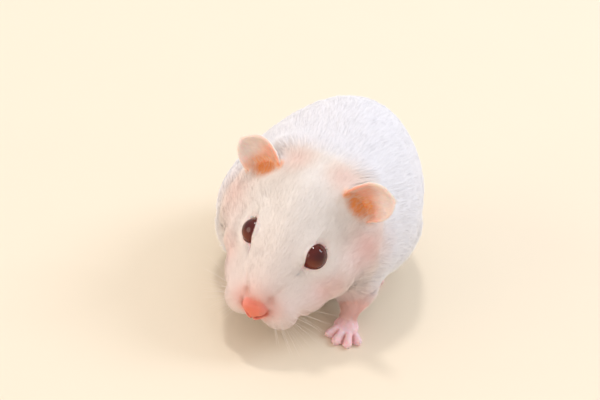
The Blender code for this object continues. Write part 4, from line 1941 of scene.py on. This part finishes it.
    def _shape(self, tufts: Tufts, chance: np.random.Generator) -> np.ndarray:
        """Bends each tuft along the skin.

        Args:
            tufts: The tufts.
            chance: The source of random numbers.

        Returns:
            Root, middle and tip of each tuft, as an array of shape (tufts, 3, 3).
        """
        count = tufts.count()
        across = np.cross(tufts.normal, tufts.comb)
        swirl = np.sin(tufts.root @ np.array((410.0, 260.0, 330.0)) + 1.3)
        swirl += np.sin(tufts.root @ np.array((-190.0, 520.0, -240.0)) + 0.4)
        turn = self.swirl * swirl + chance.normal(0.0, self.stray, count)
        turn = np.radians(turn)[:, None]
        way = tufts.comb * np.cos(turn) + across * np.sin(turn)
        length = tufts.length * chance.uniform(*self.lengths, count)
        lift = tufts.lift * chance.uniform(*self.lifts, count)
        bend = np.clip(tufts.bend, *self.bends) * length
        first = (lift - 0.25 * bend)[:, None]
        second = (0.22 * lift - 0.75 * bend)[:, None]
        root = tufts.root - tufts.normal * (0.02 * length)[:, None]
        half = (length / 2)[:, None]
        middle = root + (way * np.cos(first) + tufts.normal * np.sin(first)) * half
        tip = middle + (way * np.cos(second) + tufts.normal * np.sin(second)) * half
        tip = self._clumped(tufts, tip, chance)
        spine = np.stack((root, middle, tip), axis=1)
        spine[:, :, 2] = np.maximum(spine[:, :, 2], self.floor_gap * MM)
        return spine

    def _clumped(self, tufts: Tufts, tip: np.ndarray, chance: np.random.Generator) -> np.ndarray:
        """Draws the tips of neighbouring tufts a little together.

        Args:
            tufts: The tufts.
            tip: Their tips.
            chance: The source of random numbers.

        Returns:
            The moved tips.
        """
        leaders = chance.choice(tufts.count(), tufts.count() // self.clump_every, replace=False)
        tree = KDTree(len(leaders))
        for i, leader in enumerate(leaders):
            tree.insert(tufts.root[leader], i)
        tree.balance()
        found = np.array([tree.find(point)[1] for point in tufts.root])
        leader = leaders[found]
        share = self.clump_share - self.clump_ease * tufts.head
        apart = np.linalg.norm(tufts.root - tufts.root[leader], axis=1)
        near = apart < self.clump_reach * MM
        share = np.where(near, share, 0.0)[:, None]
        return tip + (tip[leader] - tip) * share

    def _clear_of_eyes(self, spine: np.ndarray) -> np.ndarray:
        """Finds the tufts that leave the eyes' openings free.

        Args:
            spine: The tufts' roots, middles and tips.

        Returns:
            True for each tuft to keep.
        """
        keep = np.ones(len(spine), bool)
        for eye in self.skin.eyes:
            for points in (spine[:, 1], spine[:, 2], (spine[:, 1] + spine[:, 2]) / 2):
                reach, tilt, round_ = eye.polar(points)
                over = (tilt - eye.edge(round_)) * eye.radius < 0.05
                keep &= ~(over & (reach < eye.radius + 3.0))
        return keep

    def _mesh(
        self, name: str, tufts: Tufts, spine: np.ndarray, chance: np.random.Generator
    ) -> bpy.types.Mesh:
        """Builds one piece's mesh: two faces a tuft, from a narrow root to a point.

        Args:
            name: The piece's name.
            tufts: Its tufts.
            spine: Their roots, middles and tips.
            chance: The source of random numbers.

        Returns:
            The mesh, with its bake map, markings with their painted crease shade, and soft normals.
        """
        count = tufts.count()
        run = unit(spine[:, 2] - spine[:, 0])
        flat = unit(np.cross(tufts.shade, run))
        roll = np.radians(chance.normal(0.0, self.roll, count))[:, None]
        side = unit(flat * np.cos(roll) + tufts.shade * np.sin(roll))
        half = (tufts.width / 2)[:, None]
        root, middle, tip = (spine[:, k] for k in range(3))
        narrow, wide = side * half * 0.8, side * half
        row = (root - narrow, root + narrow, middle + wide, middle - wide, tip)
        points = np.stack(row, axis=1)
        points[:, :, 2] = np.maximum(points[:, :, 2], 0.1 * MM)
        mesh = bpy.data.meshes.new(name)
        mesh.vertices.add(count * 5)
        mesh.vertices.foreach_set("co", points.astype(np.float32).ravel())
        first = np.arange(count)[:, None] * 5
        loops = (first + np.array(TUFT_LOOPS)).astype(np.int32)
        mesh.loops.add(count * 7)
        mesh.loops.foreach_set("vertex_index", loops.ravel())
        starts = (np.arange(count)[:, None] * 7 + np.array((0, 4))).astype(np.int32)
        mesh.polygons.add(count * 2)
        mesh.polygons.foreach_set("loop_start", starts.ravel())
        mesh.update(calc_edges=True)
        spots = tufts.map_at[:, None, :] + TUFT_MAP[None] * self.patch
        spots = np.clip(spots, 0.001, 0.999)[:, TUFT_LOOPS]
        layer = mesh.uv_layers.new(name=BAKE_MAP)
        layer.uv.foreach_set("vector", spots.astype(np.float32).ravel())
        # the markings carry the painted crease shade in their alpha
        add_attribute(mesh, "markings", "FLOAT_COLOR", np.repeat(tufts.marks, 5, axis=0))
        add_attribute(mesh, "along", "FLOAT", np.tile(TUFT_ALONG, count))
        mesh.shade_smooth()
        stray = self.soft_stray * chance.normal(0.0, 1.0, (count, 3))
        soft = unit(tufts.shade + stray + self.soft_lean * run)
        mesh.normals_split_custom_set_from_vertices(np.repeat(soft, 5, axis=0))
        return mesh

    def build(self, material: bpy.types.Material) -> None:
        """Grows the coat and parts it into pieces, each small enough to bake.

        Args:
            material: The coat's finish.
        """
        chance = np.random.default_rng(SEED)
        comb = self.comb_field()
        tufts = self._scatter(comb, chance)
        spine = self._shape(tufts, chance)
        keep = self._clear_of_eyes(spine)
        tufts, spine = tufts.chosen(keep), spine[keep]
        groups = {"head": tufts.head > 0.5, "body": tufts.head <= 0.5}
        for word, mask in groups.items():
            rows = np.flatnonzero(mask)
            rows = rows[np.argsort(tufts.root[rows, 1], kind="stable")]
            parts = max(1, math.ceil(len(rows) / self.most_tufts))
            for number, chunk in enumerate(np.array_split(rows, parts), 1):
                name = f"coat_{word}_{number}"
                mesh = self._mesh(name, tufts.chosen(chunk), spine[chunk], chance)
                enter_piece(link_object(name, mesh, material), "white_fur")
                log.info("%s: %d tufts", name, len(chunk))


# ---------------------------------------------------------------- whiskers and claws


@dataclass
class Whiskers:
    """The fans of fine stiff whiskers on the two pads of the muzzle."""

    skin: Skin
    head: HeadFrame
    rows: int = 4
    columns: int = 6
    thickness: float = 0.028
    shortest: float = 5.0
    longest: float = 12.0
    right_share: float = 0.8  # the right fan's length beside the left one's
    steps: int = 9
    first_root: Point = (2.9, -12.4, -7.6)
    root_span: Point = (4.4, 5.6, 4.2)

    def _root(self, tree: BVHTree, side: Side, row: int, column: int) -> tuple[Vector, Vector]:
        """Finds a whisker's root on the skin.

        Args:
            tree: The skin.
            side: Which side of the muzzle.
            row: Its row, counted downwards.
            column: Its place in the row, counted backwards.

        Returns:
            The root and the skin's direction there.
        """
        back, down = column / (self.columns - 1), row / (self.rows - 1)
        across, forward, up = self.first_root
        wider, further, lower = self.root_span
        aim = (side.value * (across + wider * back), forward + further * back, up - lower * down)
        start = self.head.outside(np.array((side.value * 16.0, -22.0, aim[2] - 1.0)))
        target = self.head.outside(np.array(aim))
        way = Vector(target - start).normalized()
        spot, normal, _, _ = tree.ray_cast(Vector(start), way)
        return (spot or Vector(target)), (normal or -way)

    def _path(
        self, root: Vector, normal: Vector, side: Side, length: float, spread: np.ndarray
    ) -> list[Vector]:
        """The curve of one whisker: out of the pad, then back and down.

        Args:
            root: Where it stands.
            normal: The skin's direction there.
            side: Which side of the muzzle.
            length: Its length in millimetres.
            spread: Small random turns.

        Returns:
            The points along it.
        """
        out = Vector(self.head.turned(np.array((side.value * 0.80, 0.05, -0.42)) + spread))
        start = (normal * 0.55 + out).normalized()
        sag = Vector((0.0, 0.25, -0.42))
        spots, spot = [root - normal * 0.1 * MM], root
        for i in range(self.steps):
            way = (start + sag * (i / self.steps) ** 1.4).normalized()
            spot = spot + way * (length / self.steps) * MM
            spots.append(Vector((spot.x, spot.y, max(spot.z, 0.25 * MM))))
        return spots

    def _add_tube(self, form: bmesh.types.BMesh, path: list[Vector]) -> None:
        """Adds a three-sided tube that tapers to a point along a path.

        Args:
            form: Where it is added.
            path: The points along it.
        """
        rings = []
        for i, spot in enumerate(path[:-1]):
            way = (path[i + 1] - spot).normalized()
            across = way.orthogonal().normalized()
            up = way.cross(across)
            size = self.thickness * MM * (1.0 - 0.85 * i / (len(path) - 1))
            angles = [2 * math.pi * k / 3 for k in range(3)]
            offsets = [across * math.cos(angle) + up * math.sin(angle) for angle in angles]
            rings.append([spot + offset * size for offset in offsets])
        add_tube(form, rings, tip=path[-1])

    def build(self, material: bpy.types.Material) -> None:
        """Grows both fans.

        Args:
            material: The whiskers' finish.
        """
        surface = self.skin.surface
        tree = BVHTree.FromPolygons(surface.points.tolist(), surface.corners.tolist())
        chance = np.random.default_rng(SEED + 1)
        for side in Side:
            form = bmesh.new()
            for row in range(self.rows):
                for column in range(self.columns):
                    root, normal = self._root(tree, side, row, column)
                    back = column / (self.columns - 1)
                    length = self.shortest + (self.longest - self.shortest) * back
                    share = 1.0 if side is Side.LEFT else self.right_share
                    length *= chance.uniform(0.8, 1.15) * share
                    fan = np.array((0.0, -0.75 + 1.25 * back, 0.35 - 0.30 * row))
                    spread = fan + chance.normal(0.0, 0.07, 3)
                    self._add_tube(form, self._path(root, normal, side, length, spread))
            name = f"whiskers_{side.word}"
            enter_piece(link_object(name, shaded_mesh(form, name), material), "claw")


@dataclass
class Claws:
    """The claws, small tapering hooks at the tips of the toes."""

    length: float = 1.15
    thickness: float = 0.26
    least: float = 0.02
    narrowing: float = 0.75  # its width beside its height
    rise: float = 0.12
    drop: float = 0.34
    steps: int = 6
    corners: int = 8

    def _hook(self, form: bmesh.types.BMesh, claw: np.ndarray, way: np.ndarray) -> None:
        """Adds one claw.

        Args:
            form: Where it is added.
            claw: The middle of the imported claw, in millimetres.
            way: The way the toe points, flat along the floor.
        """
        across = Vector((-way[1], way[0], 0.0)) * self.narrowing
        turns = [2 * math.pi * k / self.corners for k in range(self.corners)]
        rings = []
        for step in range(self.steps):
            along = step / (self.steps - 1)
            spot = Vector(claw + way * self.length * (along - 0.55))
            spot.z = claw[2] + self.rise - self.drop * along**2
            size = self.thickness * (1.0 - along**1.6) + self.least
            ways = [across * math.cos(turn) + Vector((0, 0, math.sin(turn))) for turn in turns]
            rings.append([(spot + out * size) * MM for out in ways])
        add_tube(form, rings)

    def build(self, material: bpy.types.Material) -> int:
        """Builds each foot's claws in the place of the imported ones.

        Args:
            material: The finish.

        Returns:
            How many claws there are.
        """
        feet = packed_feet()
        for foot in feet:
            form = bmesh.new()
            for claw in foot.claws:
                self._hook(form, claw, unit((claw - foot.heel) * (1.0, 1.0, 0.0)))
            name = f"hooks_{foot.word}"
            piece = link_object(name, shaded_mesh(form, name), material)
            enter_piece(piece, "claw", *foot.nodes)
        return sum(len(foot.nodes) for foot in feet)


# ---------------------------------------------------------------- the studio


@dataclass(frozen=True)
class Lamp:
    """A round lamp that faces the animal: its place and width in metres, its power in watts."""

    name: str
    spot: Point
    size: float
    power: float
    colour: Colour

    def hang(self) -> None:
        """Hangs the lamp."""
        data = bpy.data.lights.new(self.name, "AREA")
        data.shape = "DISK"
        data.size = self.size
        data.energy = self.power
        data.color = self.colour
        lamp = bpy.data.objects.new(self.name, data)
        lamp.location = self.spot
        aim = Vector((0.0, 0.0, 0.02)) - Vector(self.spot)
        lamp.rotation_euler = aim.to_track_quat("-Z", "Y").to_euler()
        bpy.context.scene.collection.objects.link(lamp)


LAMPS = (
    Lamp("window", (0.62, 0.62, 0.80), 0.5, 4.8, (0.80, 0.88, 1.0)),
    Lamp("key", (-0.28, 0.21, 0.93), 0.13, 2.35, (1.0, 0.97, 0.95)),
    Lamp("fill", (-0.85, -0.80, 0.35), 0.9, 5.2, (1.0, 0.85, 0.70)),
)


@dataclass
class Studio:
    """The floor, the light and the camera."""

    head: HeadFrame
    azimuth: float = 13.5
    elevation: float = 32.0
    roll: float = 14.0
    distance: float = 285.0
    aside: tuple[float, float] = (-3.93, -9.53)
    lens: float = 77.82
    sensor: float = 36.0
    floor_reach: float = 3.0
    room: Colour = (1.0, 0.97, 0.955)
    room_strength: float = 0.75

    def build_floor(self) -> None:
        """Makes the floor, wide and plain."""
        mesh = bpy.data.meshes.new("floor")
        signs = ((-1, -1), (1, -1), (1, 1), (-1, 1))
        corners = [(x * self.floor_reach, y * self.floor_reach, 0) for x, y in signs]
        mesh.from_pydata(corners, [], [(0, 1, 2, 3)])
        link_object("floor", mesh, FloorFinish().material())

    def build_light(self) -> None:
        """Hangs the lamps and sets the soft light of the room."""
        for lamp in LAMPS:
            lamp.hang()
        world = bpy.data.worlds.new("soft_room")
        world.use_nodes = True
        desk = NodeDesk(world.node_tree)
        back = desk.add("Background", Color=(*self.room, 1.0), Strength=self.room_strength)
        desk.add("OutputWorld", Surface=back.outputs[0])
        bpy.context.scene.world = world
        bpy.context.scene.view_settings.view_transform = "Standard"

    def build_camera(self) -> None:
        """Stands the camera in front, above and a little to the animal's left."""
        side, rise, tilt = (math.radians(a) for a in (self.azimuth, self.elevation, self.roll))
        right = Vector((math.cos(side), math.sin(side), 0.0))
        flat = math.cos(rise)
        back = Vector((math.sin(side) * flat, -math.cos(side) * flat, math.sin(rise)))
        up = back.cross(right)
        across = right * math.cos(tilt) + up * math.sin(tilt)
        over = up * math.cos(tilt) - right * math.sin(tilt)
        spot = Vector(self.head.origin) + back * self.distance * MM
        spot -= across * self.aside[0] * MM + over * self.aside[1] * MM
        data = bpy.data.cameras.new("camera")
        data.sensor_width = self.sensor
        data.lens = self.lens
        data.clip_start = 0.001
        data.clip_end = 20.0
        camera = bpy.data.objects.new("camera", data)
        turn = Matrix((across, over, back)).transposed()
        camera.matrix_world = Matrix.Translation(spot) @ turn.to_4x4()
        bpy.context.scene.collection.objects.link(camera)
        bpy.context.scene.camera = camera


# ---------------------------------------------------------------- assembly


def write_sizes() -> None:
    """Brings the view layer up to date.
    """
    bpy.context.view_layer.update()


def main() -> None:
    """Builds the hamster's pieces in order."""
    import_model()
    head = HeadFrame()
    studio = Studio(head)
    studio.build_camera()
    groups = Groups()
    skin_look = SkinFinish().material(groups)
    eyes = [Eye(side, head, upper_lift=2.0 if side is Side.LEFT else -5.0) for side in Side]
    skin = Skin(head, eyes)
    skin.build(skin_look)
    log.info("skin: %d points", len(skin.surface.points))
    ruby = EyeFinish().material(groups)
    moist = RimFinish().material(groups)
    for eye in eyes:
        eye.build_ball(ruby)
        eye.build_margin(moist)
        log.info("eye %s", eye.side.word)
    coat = Coat(skin, head, thinning=1.0)
    coat.build(CoatFinish().material(groups))
    whiskers = Whiskers(skin, head)
    whiskers.build(HornFinish(name="whisker_horn", share=0.1).material(groups))
    log.info("whiskers: %d a side", whiskers.rows * whiskers.columns)
    log.info("claws: %d", Claws().build(HornFinish().material(groups)))
    studio.build_floor()
    studio.build_light()
    write_sizes()


if __name__ == "__main__":
    logging.basicConfig(level=logging.INFO, format="%(message)s")
    main()
